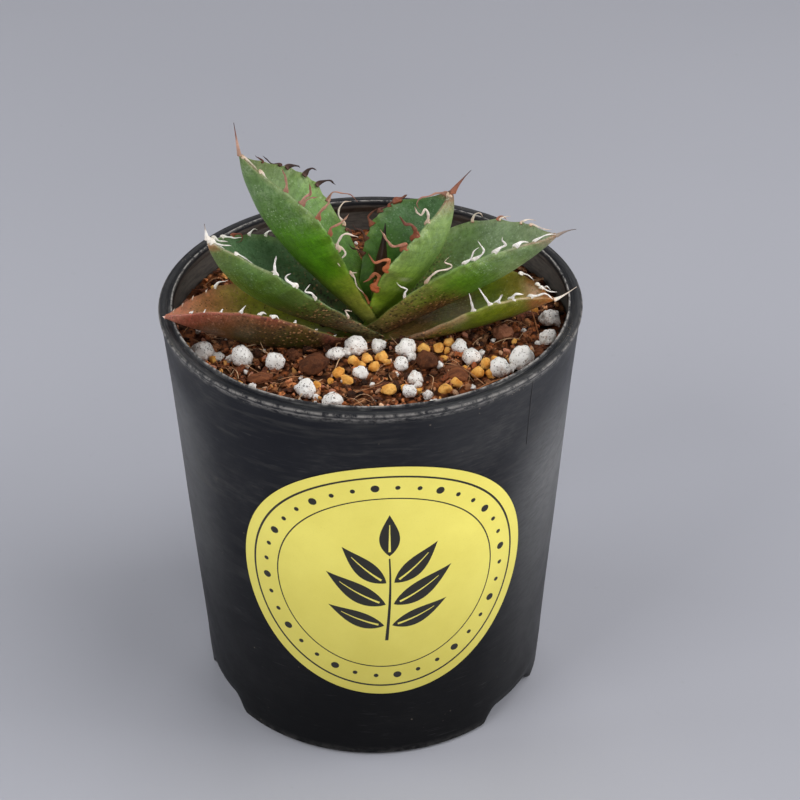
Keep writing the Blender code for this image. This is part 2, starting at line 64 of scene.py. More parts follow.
class Look:
    """A material that is built node by node."""

    def __init__(self, name, rough=0.5, spec=0.5, coat=0.0, coat_rough=0.2, sheen=0.0, ior=None):
        self.mat = bpy.data.materials.new(name)
        self.mat.use_nodes = True
        self.tree = self.mat.node_tree
        self.bsdf = self.tree.nodes["Principled BSDF"]
        self.bsdf.inputs["Roughness"].default_value = rough
        self.bsdf.inputs["Specular IOR Level"].default_value = spec
        self.bsdf.inputs["Coat Weight"].default_value = coat
        self.bsdf.inputs["Coat Roughness"].default_value = coat_rough
        self.bsdf.inputs["Sheen Weight"].default_value = sheen
        if ior:
            self.bsdf.inputs["IOR"].default_value = ior

    def node(self, kind, **settings):
        n = self.tree.nodes.new(kind)
        for k, v in settings.items():
            setattr(n, k, v)
        return n

    def put(self, socket, value):
        if isinstance(value, bpy.types.NodeSocket):
            self.tree.links.new(value, socket)
        elif isinstance(value, (tuple, list)) and len(value) == 3 and socket.type == "RGBA":
            socket.default_value = (*value, 1.0)
        else:
            socket.default_value = value

    def coords(self, scale=(1, 1, 1), shift=(0, 0, 0)):
        tc = self.node("ShaderNodeTexCoord")
        m = self.node("ShaderNodeMapping")
        self.tree.links.new(tc.outputs["Object"], m.inputs["Vector"])
        m.inputs["Scale"].default_value = scale
        m.inputs["Location"].default_value = shift
        return m.outputs["Vector"]

    def attr(self, name, out="Fac"):
        n = self.node("ShaderNodeAttribute", attribute_name=name)
        return n.outputs[out]

    def mapped(self, vector, scale=(1, 1, 1), shift=(0, 0, 0)):
        m = self.node("ShaderNodeMapping")
        self.put(m.inputs["Vector"], vector)
        m.inputs["Scale"].default_value = scale
        m.inputs["Location"].default_value = shift
        return m.outputs["Vector"]

    def noise(self, scale, detail=3.0, rough=0.55, vector=None, distortion=0.0, out="Fac"):
        n = self.node("ShaderNodeTexNoise")
        self.put(n.inputs["Vector"], vector if vector is not None else self.coords())
        n.inputs["Scale"].default_value = scale
        n.inputs["Detail"].default_value = detail
        n.inputs["Roughness"].default_value = rough
        n.inputs["Distortion"].default_value = distortion
        return n.outputs[out]

    def voronoi(self, scale, vector=None, feature="F1", rand=1.0, out="Distance"):
        n = self.node("ShaderNodeTexVoronoi", feature=feature)
        self.put(n.inputs["Vector"], vector if vector is not None else self.coords())
        n.inputs["Scale"].default_value = scale
        n.inputs["Randomness"].default_value = rand
        return n.outputs[out]

    def math(self, op, a, b=0.0, c=None, clamp=False):
        n = self.node("ShaderNodeMath", operation=op, use_clamp=clamp)
        self.put(n.inputs[0], a)
        self.put(n.inputs[1], b)
        if c is not None:
            self.put(n.inputs[2], c)
        return n.outputs[0]

    def span(self, value, a, b, lo=0.0, hi=1.0, smooth=True):
        n = self.node("ShaderNodeMapRange", interpolation_type="SMOOTHSTEP" if smooth else "LINEAR")
        self.put(n.inputs["Value"], value)
        n.inputs["From Min"].default_value = a
        n.inputs["From Max"].default_value = b
        n.inputs["To Min"].default_value = lo
        n.inputs["To Max"].default_value = hi
        return n.outputs["Result"]

    def mix(self, fac, a, b, blend="MIX"):
        n = self.node("ShaderNodeMix", data_type="RGBA", blend_type=blend)
        self.put(n.inputs[0], fac)
        self.put(n.inputs[6], a)
        self.put(n.inputs[7], b)
        return n.outputs[2]

    def blend(self, fac, a, b):
        n = self.node("ShaderNodeMix", data_type="FLOAT")
        self.put(n.inputs[0], fac)
        self.put(n.inputs[2], a)
        self.put(n.inputs[3], b)
        return n.outputs[0]

    def bump(self, height, distance=0.0002, strength=1.0, normal=None):
        n = self.node("ShaderNodeBump")
        n.inputs["Distance"].default_value = distance
        n.inputs["Strength"].default_value = strength
        self.put(n.inputs["Height"], height)
        if normal is not None:
            self.put(n.inputs["Normal"], normal)
        return n.outputs["Normal"]

    def finish(self, colour=None, rough=None, normal=None):
        if colour is not None:
            self.put(self.bsdf.inputs["Base Color"], colour)
        if rough is not None:
            self.put(self.bsdf.inputs["Roughness"], rough)
        if normal is not None:
            self.put(self.bsdf.inputs["Normal"], normal)
        return self.mat


def make(name, verts, faces, mats, slot, face_mats=None, floats=None, colours=None, vectors=None, smooth=True, sharp=None):
    mesh = bpy.data.meshes.new(name)
    mesh.from_pydata(np.asarray(verts, float).tolist(), [], faces if isinstance(faces, list) else faces.tolist())
    for m in mats:
        mesh.materials.append(m)
    if face_mats is not None:
        mesh.polygons.foreach_set("material_index", np.asarray(face_mats, np.int32))
    n = len(mesh.vertices)
    for key, data in (floats or {}).items():
        a = mesh.attributes.new(key, "FLOAT", "POINT")
        a.data.foreach_set("value", np.asarray(data, np.float32).reshape(n))
    for key, data in (colours or {}).items():
        a = mesh.attributes.new(key, "FLOAT_COLOR", "POINT")
        rgba = np.ones((n, 4), np.float32)
        rgba[:, :3] = np.asarray(data, np.float32)
        a.data.foreach_set("color", rgba.ravel())
    for key, data in (vectors or {}).items():
        a = mesh.attributes.new(key, "FLOAT_VECTOR", "POINT")
        a.data.foreach_set("vector", np.asarray(data, np.float32).reshape(n * 3))
    if smooth:
        mesh.shade_smooth()
        if sharp is not None:
            mesh.set_sharp_from_angle(angle=math.radians(sharp))
    mesh.validate()
    mesh.update()
    ob = bpy.data.objects.new(name, mesh)
    SCENE.collection.objects.link(ob)
    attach(ob, "root")
    return ob


def grid_faces(rows, cols, wrap_cols=True, wrap_rows=False, offset=0):
    """Quads over rows x cols points."""
    out = []
    rr = rows if wrap_rows else rows - 1
    cc = cols if wrap_cols else cols - 1
    for i in range(rr):
        a, b = i * cols, ((i + 1) % rows) * cols
        for j in range(cc):
            k = (j + 1) % cols
            out.append((offset + a + j, offset + a + k, offset + b + k, offset + b + j))
    return out


def smoothstep(a, b, x):
    t = np.clip((np.asarray(x, float) - a) / (b - a), 0, 1)
    return t * t * (3 - 2 * t)


def perlin(points, scale, seed=0.0):
    shift = Vector((seed * 3.1, seed * 7.7, seed * 1.3))
    return np.array([noise.noise(Vector(p) * scale + shift) for p in points])


# ====================================================== the CAD's sizes
RIM_RADIUS, RIM_HEIGHT = 0.0525, 0.1119
BEAD_RADIUS, BEAD_RISE, MOUTH_RADIUS = 0.0492, 0.0005, 0.0487
FOOT_RADIUS, WALL_TOP_RADIUS = 0.0447, 0.0517
WALL_FLARE, WALL_FLARE_DEPTH, WALL_THICKNESS = 0.0005, 0.0120, 0.0014
FLOOR_TOP, FLOOR_THICKNESS, FOOT_BEVEL = 0.0064, 0.0014, 0.0008
HOLE_CENTRE, HOLE_RING, HOLE_CIRCLE = 0.0060, 0.0038, 0.0260
NOTCH_FIRST, NOTCH_HALF, NOTCH_FLAT, NOTCH_HEIGHT = math.radians(55.4), math.radians(14.8), math.radians(9.0), 0.0043
LABEL_RADIUS, LABEL_ANGLE, LABEL_HEIGHT = 0.0370, math.radians(4.5), 0.0596
SOIL_LEVEL, SOIL_EDGE_DROP, SOIL_RELIEF, SOIL_DIP, SOIL_DIP_RADIUS = 0.1043, 0.0009, 0.0005, 0.0028, 0.0115
CROWN = Vector((0.0003, -0.0006, SOIL_LEVEL))


def wall_radius(z):
    cone = FOOT_RADIUS + (WALL_TOP_RADIUS - FOOT_RADIUS) * z / RIM_HEIGHT
    return cone + WALL_FLARE * math.exp(-(RIM_HEIGHT - z) / WALL_FLARE_DEPTH)


def inner_radius(z):
    return wall_radius(z) - WALL_THICKNESS


def soil_height(x, y):
    r = math.hypot(x, y)
    h = SOIL_LEVEL - SOIL_EDGE_DROP * (r / inner_radius(SOIL_LEVEL)) ** 2
    h += SOIL_RELIEF * noise.noise(Vector((x * 110, y * 110, 3.7)))
    d = math.hypot(x - CROWN.x, y - CROWN.y) / SOIL_DIP_RADIUS
    return h - SOIL_DIP * math.exp(-d * d)


# ================================================================= pot
def pot_look():
    k = Look("pot_black_plastic", rough=0.45, spec=0.12)
    pos = k.coords()
    polar = k.attr("polar", "Vector")       # x, y and height with the radius added, in millimetres
    broad = k.noise(34, 4, 0.6, pos)
    cloud = k.noise(110, 5, 0.65, k.coords(shift=(0.3, 0.1, 0.7)))
    grit = k.noise(1100, 3, 0.6, pos)
    lathe = k.noise(1.0, 3, 0.6, k.mapped(polar, (0.035, 0.035, 3.4)))
    lathe_fine = k.noise(1.0, 3, 0.65, k.mapped(polar, (0.10, 0.10, 7.0), (4, 2, 7)))
    drift = k.noise(1.0, 4, 0.6, k.mapped(polar, (0.05, 0.05, 0.42), (1, 5, 2)))
    smear = k.noise(1.0, 4, 0.65, k.mapped(polar, (0.30, 0.30, 1.4), (9, 1, 3)))
    film = k.math("MULTIPLY", k.span(broad, 0.40, 0.70), k.span(smear, 0.40, 0.74))
    film = k.math("ADD", k.math("MULTIPLY", film, 0.50), k.math("MULTIPLY", k.span(drift, 0.50, 0.78), 0.32))
    film = k.math("MULTIPLY", film, k.attr("high"))
    inner = k.math("MULTIPLY", k.attr("inside"), k.span(smear, 0.30, 0.70, 0.35, 1.0))
    film = k.math("MAXIMUM", film, inner)
    speck_cells = k.voronoi(0.55, k.mapped(polar, (1, 1, 1)))
    speck = k.math("MULTIPLY", k.span(speck_cells, 0.20, 0.08), k.span(k.noise(150, 3, 0.6, k.coords(shift=(0.9, 0.4, 0.2))), 0.62, 0.74))
    fleck_cells = k.voronoi(1.35, k.mapped(polar, (1, 1, 1), (5, 9, 2)))
    fleck = k.math("MULTIPLY", k.span(fleck_cells, 0.20, 0.10), k.span(k.noise(48, 3, 0.6, k.coords(shift=(0.1, 0.9, 0.6))), 0.57, 0.66))
    fleck = k.math("MULTIPLY", fleck, k.attr("top"))
    chalk = k.math("MULTIPLY", k.attr("wear"), k.span(k.noise(1.0, 4, 0.7, k.mapped(polar, (0.50, 0.50, 0.8), (3, 3, 3))), 0.38, 0.60))
    lines = k.math("MULTIPLY", k.attr("top"), k.math("MULTIPLY", k.span(lathe_fine, 0.54, 0.66), k.span(k.noise(1.0, 3, 0.6, k.mapped(polar, (0.08, 0.08, 0.2), (8, 8, 1))), 0.42, 0.62)))
    scar = k.math("MULTIPLY", k.attr("top"), k.math("MULTIPLY", k.span(lathe, 0.60, 0.70), k.span(smear, 0.50, 0.66)))
    hair = k.noise(1.0, 2, 0.5, k.mapped(polar, (0.16, 0.16, 3.2), (2, 6, 5)))
    base = k.mix(k.span(broad, 0.3, 0.7), (0.0040, 0.0044, 0.0062), (0.0078, 0.0082, 0.0100))
    # painted sheen: paler grey on the two flanks, standing in for a grazing reflection
    base = k.mix(k.math("MULTIPLY", k.attr("painted_flank_sheen"), k.span(smear, 0.25, 0.75, 0.50, 0.85)), base, (0.105, 0.107, 0.110))
    # painted light and shade: the base colour is darker towards the foot and paler towards the rim
    base = k.mix(1.0, base, k.attr("painted_height_light"), "MULTIPLY")
    col = k.mix(film, base, (0.086, 0.084, 0.080))
    col = k.mix(k.math("MULTIPLY", inner, 0.85), col, (0.125, 0.108, 0.096))
    col = k.mix(k.span(hair, 0.66, 0.74, 0.0, 0.16), col, (0.12, 0.12, 0.12))
    col = k.mix(k.math("MULTIPLY", lines, 0.50), col, (0.20, 0.20, 0.19))
    col = k.mix(k.math("MULTIPLY", scar, 0.45), col, (0.30, 0.29, 0.28))
    col = k.mix(k.math("MULTIPLY", chalk, 0.88), col, (0.44, 0.42, 0.40))
    col = k.mix(k.math("MULTIPLY", speck, 0.50), col, (0.30, 0.25, 0.20))
    col = k.mix(k.math("MULTIPLY", fleck, 0.75), col, (0.46, 0.38, 0.30))
    rough = k.math("ADD", k.span(cloud, 0.3, 0.75, 0.40, 0.50), k.math("MULTIPLY", film, 0.30))
    height = k.math("ADD", k.math("MULTIPLY", grit, 0.22), k.math("ADD", k.math("MULTIPLY", drift, 0.5), k.math("MULTIPLY", hair, 0.25)))
    height = k.math("ADD", height, k.math("MULTIPLY", k.math("ADD", lathe_fine, lathe), k.math("MULTIPLY", k.attr("top"), 0.6)))
    return k.finish(col, rough, k.bump(height, 0.00010, 0.5))


def notch_rise(angle):
    best = 0.0
    for i in range(3):
        off = abs((angle - NOTCH_FIRST - i * math.tau / 3 + math.pi) % math.tau - math.pi)
        if off < NOTCH_HALF:
            ease = min(1.0, (NOTCH_HALF - off) / (NOTCH_HALF - NOTCH_FLAT))
            best = max(best, NOTCH_HEIGHT * math.sin(ease * math.pi / 2))
    return best


def rounded(profile, cut, longest):
    """Closed (r, z, follow) outline with softened corners and no long edges."""
    pts = [np.array(p, float) for p in profile]
    out = []
    n = len(pts)
    for i in range(n):
        a, p, b = pts[i - 1], pts[i], pts[(i + 1) % n]
        da, db = np.linalg.norm((a - p)[:2]), np.linalg.norm((b - p)[:2])
        c = min(cut, 0.42 * da, 0.42 * db)
        q0, q1 = p + (a - p) * c / da, p + (b - p) * c / db
        for t in (0, 0.25, 0.5, 0.75, 1):
            out.append(q0 * (1 - t) ** 2 + p * 2 * t * (1 - t) + q1 * t * t)
    dense = []
    for i, p in enumerate(out):
        q = out[(i + 1) % len(out)]
        steps = max(1, int(math.ceil(np.linalg.norm((q - p)[:2]) / longest)))
        dense += [p + (q - p) * j / steps for j in range(steps)]
    return dense


def build_pot():
    top = RIM_HEIGHT
    pts = [(HOLE_CENTRE, FLOOR_TOP - FLOOR_THICKNESS, 0),
           (inner_radius(0.005) - 0.0012, FLOOR_TOP - FLOOR_THICKNESS, 0),
           (inner_radius(0.0) - 0.0002, 0.0, 1), (FOOT_RADIUS - FOOT_BEVEL, 0.0, 1), (FOOT_RADIUS, FOOT_BEVEL, 1)]
    for z in (0.0075, 0.030, 0.050, 0.070, 0.092, top - 0.0060, top - 0.0030):
        pts.append((wall_radius(z), z, 0))
    pts += [(RIM_RADIUS - 0.0005, top - 0.0015, 0), (RIM_RADIUS - 0.0001, top - 0.0009, 0), (RIM_RADIUS, top - 0.0003, 0), (RIM_RADIUS - 0.0004, top + 0.0001, 0),
            (RIM_RADIUS - 0.0012, top + 0.0002, 0), (RIM_RADIUS - 0.0019, top + 0.00005, 0), (BEAD_RADIUS + 0.0007, top - 0.0003, 0),
            (BEAD_RADIUS + 0.00045, top - 0.0001, 0), (BEAD_RADIUS + 0.0002, top + BEAD_RISE, 0), (BEAD_RADIUS - 0.0002, top + BEAD_RISE, 0),
            (MOUTH_RADIUS, top - 0.0002, 0), (MOUTH_RADIUS + 0.0001, top - 0.0014, 0), (inner_radius(top - 0.0036), top - 0.0036, 0),
            (inner_radius(0.1), 0.1, 0), (inner_radius(0.05), 0.05, 0), (inner_radius(0.008), 0.008, 0), (inner_radius(0.0064) - 0.0014, FLOOR_TOP, 0),
            (HOLE_CENTRE, FLOOR_TOP, 0)]
    prof = rounded(pts, 0.00035, 0.0030)
    n = 300
    verts = []
    for i in range(n):
        a = math.tau * i / n
        lift = notch_rise(a)
        sa, ca = math.sin(a), math.cos(a)
        for r, z, f in prof:
            wob = 0.0
            if 0.012 < z < top - 0.004:      # moulded walls are never quite true
                wob = 0.00005 * math.sin(2 * a + 9 * z / 0.1) + 0.00004 * math.sin(5 * a - 60 * z)
            verts.append(((r + wob) * sa, -(r + wob) * ca, z + lift * f))
    faces = grid_faces(n, len(prof), wrap_cols=True, wrap_rows=True)
    mesh = bpy.data.meshes.new("pot_shell_raw")
    mesh.from_pydata(verts, [], faces)
    bm = bmesh.new()
    bm.from_mesh(mesh)
    bmesh.ops.recalc_face_normals(bm, faces=bm.faces)
    bm.to_mesh(mesh)
    bm.free()
    raw = bpy.data.objects.new("pot_shell_raw", mesh)
    SCENE.collection.objects.link(raw)
    cutters = []
    for i in range(6):
        a = math.tau * (i + 0.5) / 6 + math.radians(1.7)
        bm = bmesh.new()
        bmesh.ops.create_cone(bm, cap_ends=True, segments=40, radius1=HOLE_RING, radius2=HOLE_RING, depth=0.006)
        bmesh.ops.translate(bm, verts=bm.verts, vec=(HOLE_CIRCLE * math.sin(a), -HOLE_CIRCLE * math.cos(a), FLOOR_TOP - FLOOR_THICKNESS / 2))
        cm = bpy.data.meshes.new("hole")
        bm.to_mesh(cm)
        bm.free()
        co = bpy.data.objects.new("hole", cm)
        SCENE.collection.objects.link(co)
        cutters.append(co)
        mod = raw.modifiers.new("hole", "BOOLEAN")
        mod.operation, mod.solver, mod.object = "DIFFERENCE", "EXACT", co
    dg = bpy.context.evaluated_depsgraph_get()
    done = bpy.data.meshes.new_from_object(raw.evaluated_get(dg))
    co = np.zeros(len(done.vertices) * 3)
    done.vertices.foreach_get("co", co)
    co = co.reshape(-1, 3)
    faces = [tuple(p.vertices) for p in done.polygons]
    for o in cutters + [raw]:
        bpy.data.objects.remove(o, do_unlink=True)
    r, z = np.hypot(co[:, 0], co[:, 1]), co[:, 2]

    def near(r0, z0, size):
        return np.exp(-(((r - r0) ** 2 + (z - z0) ** 2) / size ** 2))

    wear = np.maximum.reduce([0.95 * near(BEAD_RADIUS, top + BEAD_RISE, 0.00030), 0.55 * near(RIM_RADIUS, top - 0.0002, 0.0004),
                              0.5 * near(RIM_RADIUS - 0.0004, top - 0.0014, 0.0005), 0.12 * near(FOOT_RADIUS, 0.0006, 0.0007)])
    top_zone = smoothstep(top - 0.0034, top - 0.0022, z) * smoothstep(BEAD_RADIUS - 0.0012, BEAD_RADIUS + 0.0002, r)
    high = 0.06 + 0.94 * smoothstep(0.012, 0.095, z)
    inside = ((r < wall_radius(0.05) + (z - 0.05) * 0.0626 - 0.0006) & (z > FLOOR_TOP + 0.001) & (z < top - 0.0008)).astype(float)
    inside *= smoothstep(0.09, 0.10, z)
    ang = np.arctan2(co[:, 0], -co[:, 1])
    turn = np.degrees(ang)
    # painted sheen: the flanks to either side are paler, most at mid height, placed by angle round the pot where the
    # light grazed the wall
    painted_flank_sheen = smoothstep(33, 66, turn) * smoothstep(165, 110, turn) * np.interp(z, [0, 0.015, 0.045, 0.060, 0.075, 0.088, 0.098, 0.106], [0.2, 0.45, 0.80, 1.02, 1.08, 0.62, 0.20, 0.12])
    painted_flank_sheen = np.maximum(painted_flank_sheen, 0.58 * smoothstep(0.106, 0.088, z) * smoothstep(-42, -70, turn) * smoothstep(-165, -120, turn) * smoothstep(0.020, 0.060, z))
    painted_flank_sheen = np.maximum(painted_flank_sheen, 0.10 * smoothstep(8, 26, turn) * smoothstep(150, 100, turn) * smoothstep(0.084, 0.101, z))
    painted_flank_sheen *= smoothstep(-0.0006, -0.0002, r - wall_radius(0.05) - (z - 0.05) * 0.0626)
    # painted_height_light: painted light and shade, a multiplier on the base colour from dark at the foot (0.25) to
    # bright at the rim (2.3)
    ob = make("pot_shell", co, faces, [pot_look()], "pot_plastic", floats={"wear": wear, "top": top_zone, "high": high, "inside": inside, "painted_flank_sheen": painted_flank_sheen,
                       "painted_height_light": np.interp(z, [0, 0.012, 0.030, 0.060, 0.095, 0.112], [0.25, 0.35, 0.7, 1.3, 2.2, 2.3])},
              vectors={"polar": np.stack([co[:, 0] * 1000, co[:, 1] * 1000, (z + r) * 1000], axis=1)}, sharp=50)
    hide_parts("pot")
    return ob


def build_seam():
    """The fine witness line that the mould leaves below the rim."""
    a0 = math.radians(47.8)
    verts, faces = [], []
    rows = 24
    for i in range(rows):
        t = i / (rows - 1)
        z = 0.1098 - 0.0190 * t
        half = 0.00013 * (1 - 0.8 * t)
        for j, (du, lift) in enumerate(((-1.6, -0.00005), (-0.6, 0.00006 * (1 - t)), (0.6, 0.00006 * (1 - t)), (1.6, -0.00005))):
            r = wall_radius(z) + 0.00005 + lift
            a = a0 + du * half / r + 0.004 * t
            verts.append((r * math.sin(a), -r * math.cos(a), z))
        for j in range(4):
            r = wall_radius(z) - 0.0002
            a = a0 + (1.6 - 1.07 * j) * half / r + 0.004 * t
            if j in (0, 3):
                verts.append((r * math.sin(a), -r * math.cos(a), z))
    faces = grid_faces(rows, 6)
    faces.append(tuple(reversed(range(6))))
    faces.append(tuple((rows - 1) * 6 + j for j in range(6)))
    k = Look("seam_plastic", rough=0.5)
    col = k.mix(k.noise(900, 2), (0.010, 0.010, 0.012), (0.030, 0.030, 0.032))
    return make("pot_seam", verts, faces, [k.finish(col)], "pot_plastic")


# =============================================================== label
def label_point(u, v, lift):
    slope = (WALL_TOP_RADIUS - FOOT_RADIUS) / RIM_HEIGHT
    half = math.atan(slope)
    rho0 = (FOOT_RADIUS + slope * LABEL_HEIGHT) / math.sin(half)
    x, y = u, rho0 + v
    rho, theta = math.hypot(x, y), math.atan2(x, y)
    z = LABEL_HEIGHT + (rho - rho0) * math.cos(half)
    a = LABEL_ANGLE + theta / math.sin(half)
    r = wall_radius(z) + lift + 0.00012
    return (r * math.sin(a), -r * math.cos(a), z)


def ring_points(radius, n, cx=0.0, cy=0.0):
    return [(cx + radius * math.cos(math.tau * i / n), cy + radius * math.sin(math.tau * i / n)) for i in range(n)]


def blade(cx, cy, angle, length, width, curve, rib):
    """Outline of a printed leaf, and of its midrib, which stays unprinted."""
    out, inner = [], []
    c, s = math.cos(angle), math.sin(angle)
    n = 22

    def place(t, w):
        x, y = length * t, w + curve * length * t * t
        return (cx + x * c - y * s, cy + x * s + y * c)

    for i in range(n + 1):
        t = i / n
        out.append(place(t, width * math.sin(math.pi * t ** 0.85) * (1 - 0.25 * t)))
    for i in range(n - 1, 0, -1):
        t = i / n
        out.append(place(t, -width * math.sin(math.pi * t ** 0.85) * (1 - 0.25 * t)))
    for i in range(9):
        t = 0.10 + 0.66 * i / 8
        inner.append(place(t, rib * (1 - 0.7 * i / 8)))
    for i in range(8, -1, -1):
        t = 0.10 + 0.66 * i / 8
        inner.append(place(t, -rib * (1 - 0.7 * i / 8)))
    return out, inner


def inside_poly(x, y, poly):
    hit = False
    j = len(poly) - 1
    for i in range(len(poly)):
        xi, yi = poly[i]
        xj, yj = poly[j]
        if (yi > y) != (yj > y) and x < (xj - xi) * (y - yi) / (yj - yi) + xi:
            hit = not hit
        j = i
    return hit


def build_label():
    shapes = []
    shapes += [ring_points(34.3, 200), ring_points(33.75, 200)]
    shapes += [ring_points(27.6, 180), ring_points(27.25, 180)]
    for i in range(36):
        a = math.tau * (i + 0.5) / 36
        shapes.append(ring_points(0.62 if i % 3 else 1.05, 14, 30.65 * math.cos(a), 30.65 * math.sin(a)))
    # a sprig: stem and paired leaves
    stem = []
    for i in range(16):
        t = i / 15
        stem.append((-0.42 * (1 - 0.55 * t) + 0.9 * math.sin(2.2 * t), -18.5 + 27.0 * t))
    for i in range(15, -1, -1):
        t = i / 15
        stem.append((0.42 * (1 - 0.55 * t) + 0.9 * math.sin(2.2 * t), -18.5 + 27.0 * t))
    shapes.append(stem)
    for y, ang, ln, wd in ((-13.5, 16, 15.0, 2.7), (-6.5, 26, 17.5, 3.2), (0.6, 38, 15.5, 3.0)):
        for sgn in (1, -1):
            a = math.radians(ang) if sgn > 0 else math.pi - math.radians(ang)
            o, inn = blade(sgn * 0.95 + 0.9 * math.sin(2.2 * (y + 18.5) / 27.0), y, a, ln, wd, 0.16 * sgn, 0.30)
            shapes += [o, inn]
    o, inn = blade(0.75, 9.3, math.pi / 2, 13.0, 2.8, 0.0, 0.30)
    shapes += [o, inn]
    edge = 37.0
    outline = ring_points(edge, 240)
    verts, edges = [], []

    def loop(poly):
        base = len(verts)
        verts.extend(Vector(p) for p in poly)
        edges.extend((base + i, base + (i + 1) % len(poly)) for i in range(len(poly)))

    loop(outline)
    for s in shapes:
        loop(s)
    step = 1.15
    for i in range(-40, 41):
        for j in range(-40, 41):
            x, y = (i + 0.5 * (j % 2)) * step, j * step * 0.866
            if math.hypot(x, y) < edge - 0.8:
                verts.append(Vector((x, y)))
    co, _, faces, *_ = delaunay_2d_cdt(verts, edges, [], 0, 1e-5)
    keep, mats = [], []
    for f in faces:
        cx = sum(co[i][0] for i in f) / len(f)
        cy = sum(co[i][1] for i in f) / len(f)
        if math.hypot(cx, cy) > edge:
            continue
        ink = sum(inside_poly(cx, cy, s) for s in shapes) % 2
        keep.append(tuple(f))
        mats.append(ink)
    n = len(co)

    def lifted(x, y, lift):
        rr = math.hypot(x, y)
        curl = 0.00004 * smoothstep(33, 37, rr) * (0.5 + 0.5 * math.sin(3 * math.atan2(y, x) + 1.0))
        return label_point(x * MM, y * MM, lift + float(curl))

    pts = [lifted(c[0], c[1], 0.00016) for c in co] + [lifted(c[0], c[1], 0.00002) for c in co]
    flip = [tuple(n + i for i in reversed(f)) for f in keep]
    # the rim of the sheet: every edge used once
    seen = {}
    for f in keep:
        for i in range(len(f)):
            a, b = f[i], f[(i + 1) % len(f)]
            seen[(a, b)] = seen.get((a, b), 0) + 1
    rim = [(a, b) for (a, b) in seen if (b, a) not in seen]
    sides = [(b, a, n + a, n + b) for a, b in rim]
    allf = keep + flip + sides
    allm = mats + [2] * len(flip) + [3] * len(sides)
    uv = [(c[0], c[1], 0.0) for c in co] * 2
    k = Look("label_vinyl", rough=0.40, spec=0.5)
    p = k.attr("print_uv", "Vector")
    blotch = k.noise(0.055, 4, 0.6, p)
    grain = k.noise(2.6, 3, 0.6, p)
    sep = k.node("ShaderNodeSeparateXYZ")
    k.put(sep.inputs[0], p)
    # painted light: the sticker's yellow grows brighter towards its top, from 0.80 at the bottom to 1.28 at the top
    painted_light_rise = k.span(sep.outputs[1], -37.0, 14.0, 0.0, 1.0, smooth=False)
    rub = k.noise(0.8, 5, 0.7, k.mapped(p, (1.0, 0.10, 1.0), (3, 5, 0)))
    yellow = k.mix(k.span(blotch, 0.3, 0.7), LABEL_A, LABEL_B)
    yellow = k.mix(painted_light_rise, k.mix(1.0, yellow, (0.80, 0.79, 0.78), "MULTIPLY"), k.mix(1.0, yellow, (1.28, 1.28, 1.36), "MULTIPLY"))
    # painted shade: the left side of the sticker is a tenth darker
    yellow = k.mix(k.span(sep.outputs[0], -12.0, -37.0, 0.0, 1.0), yellow, k.mix(1.0, yellow, (0.90, 0.90, 0.90), "MULTIPLY"))
    yellow = k.mix(k.span(grain, 0.55, 0.85, 0.0, 0.22), yellow, lin((160, 148, 70)))
    yellow = k.mix(k.span(rub, 0.66, 0.8, 0.0, 0.30), yellow, lin((228, 220, 150)))
    rough = k.span(blotch, 0.3, 0.7, 0.36, 0.46)
    n1 = k.bump(k.math("ADD", k.math("MULTIPLY", grain, 0.4), blotch), 0.00008, 0.4)
    vinyl = k.finish(yellow, rough, n1)
    k = Look("label_ink", rough=0.42, spec=0.45)
    p = k.attr("print_uv", "Vector")
    wear = k.noise(1.9, 5, 0.75, p)
    ink = k.mix(k.span(wear, 0.63, 0.74, 0.0, 0.75), lin((34, 32, 26)), lin((118, 108, 52)))
    ink_m = k.finish(ink, k.span(wear, 0.4, 0.8, 0.38, 0.5), k.bump(wear, 0.00004, 0.3))
    k = Look("label_back", rough=0.7)
    back = k.finish(k.mix(k.noise(500), lin((180, 178, 168)), lin((205, 203, 196))))
    k = Look("label_edge", rough=0.6)
    edge_m = k.finish(k.mix(k.noise(700, 3), lin((66, 60, 34)), lin((150, 140, 84))))
    ob = make("label_sheet", pts, allf, [vinyl, ink_m, back, edge_m], "label_vinyl", face_mats=allm, vectors={"print_uv": uv}, sharp=30)
    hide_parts("label")
    return ob


LABEL_A, LABEL_B = (0.700, 0.618, 0.108), (0.750, 0.672, 0.130)


# ================================================================ soil
SOIL_TONES = [(68, 40, 26), (108, 62, 38), (140, 82, 48), (166, 98, 56), (186, 116, 70), (212, 150, 104), (88, 52, 36), (138, 94, 66)]


def soil_look():
    k = Look("coir_mix", rough=0.9, spec=0.25)
    pos = k.coords()
    n1 = k.noise(700, 6, 0.7, pos)
    n2 = k.noise(2400, 3, 0.6, pos)
    fib = k.noise(420, 4, 0.7, k.coords(scale=(1, 6, 1)), distortion=1.5)
    # near-black where the noise that also drives the bump is low: painted shade in the hollows, together with dark bits
    # of the mix
    col = k.mix(k.span(n1, 0.3, 0.72), k.attr("rgb", "Color"), lin((36, 22, 17)), "MIX")
    col = k.mix(k.span(n1, 0.30, 0.62), lin((24, 14, 11)), k.mix(1.0, k.attr("rgb", "Color"), (0.82, 0.74, 0.66), "MULTIPLY"))
    col = k.mix(k.span(fib, 0.60, 0.70, 0.0, 0.55), col, lin((166, 112, 74)))
    col = k.mix(k.span(n2, 0.62, 0.75, 0.0, 0.5), col, lin((186, 138, 98)))
    return k.finish(col, 0.92, k.bump(k.math("ADD", n1, k.math("MULTIPLY", n2, 0.4)), 0.0005, 0.8))


def crumb_look(name="mix_crumbs", floor=0.0):
    k = Look(name, rough=0.88, spec=0.3)
    pos = k.coords()
    n1 = k.noise(1500, 5, 0.7, pos)
    n2 = k.noise(4200, 2, 0.6, pos)
    col = k.mix(k.span(n1, 0.32, 0.60, floor, 1.0), lin((30, 17, 13)), k.attr("rgb", "Color"))
    col = k.mix(k.span(n2, 0.60, 0.78, 0.0, 0.45), col, lin((190, 150, 112)))
    return k.finish(col, 0.88, k.bump(k.math("ADD", n1, k.math("MULTIPLY", n2, 0.5)), 0.0003, 0.9))


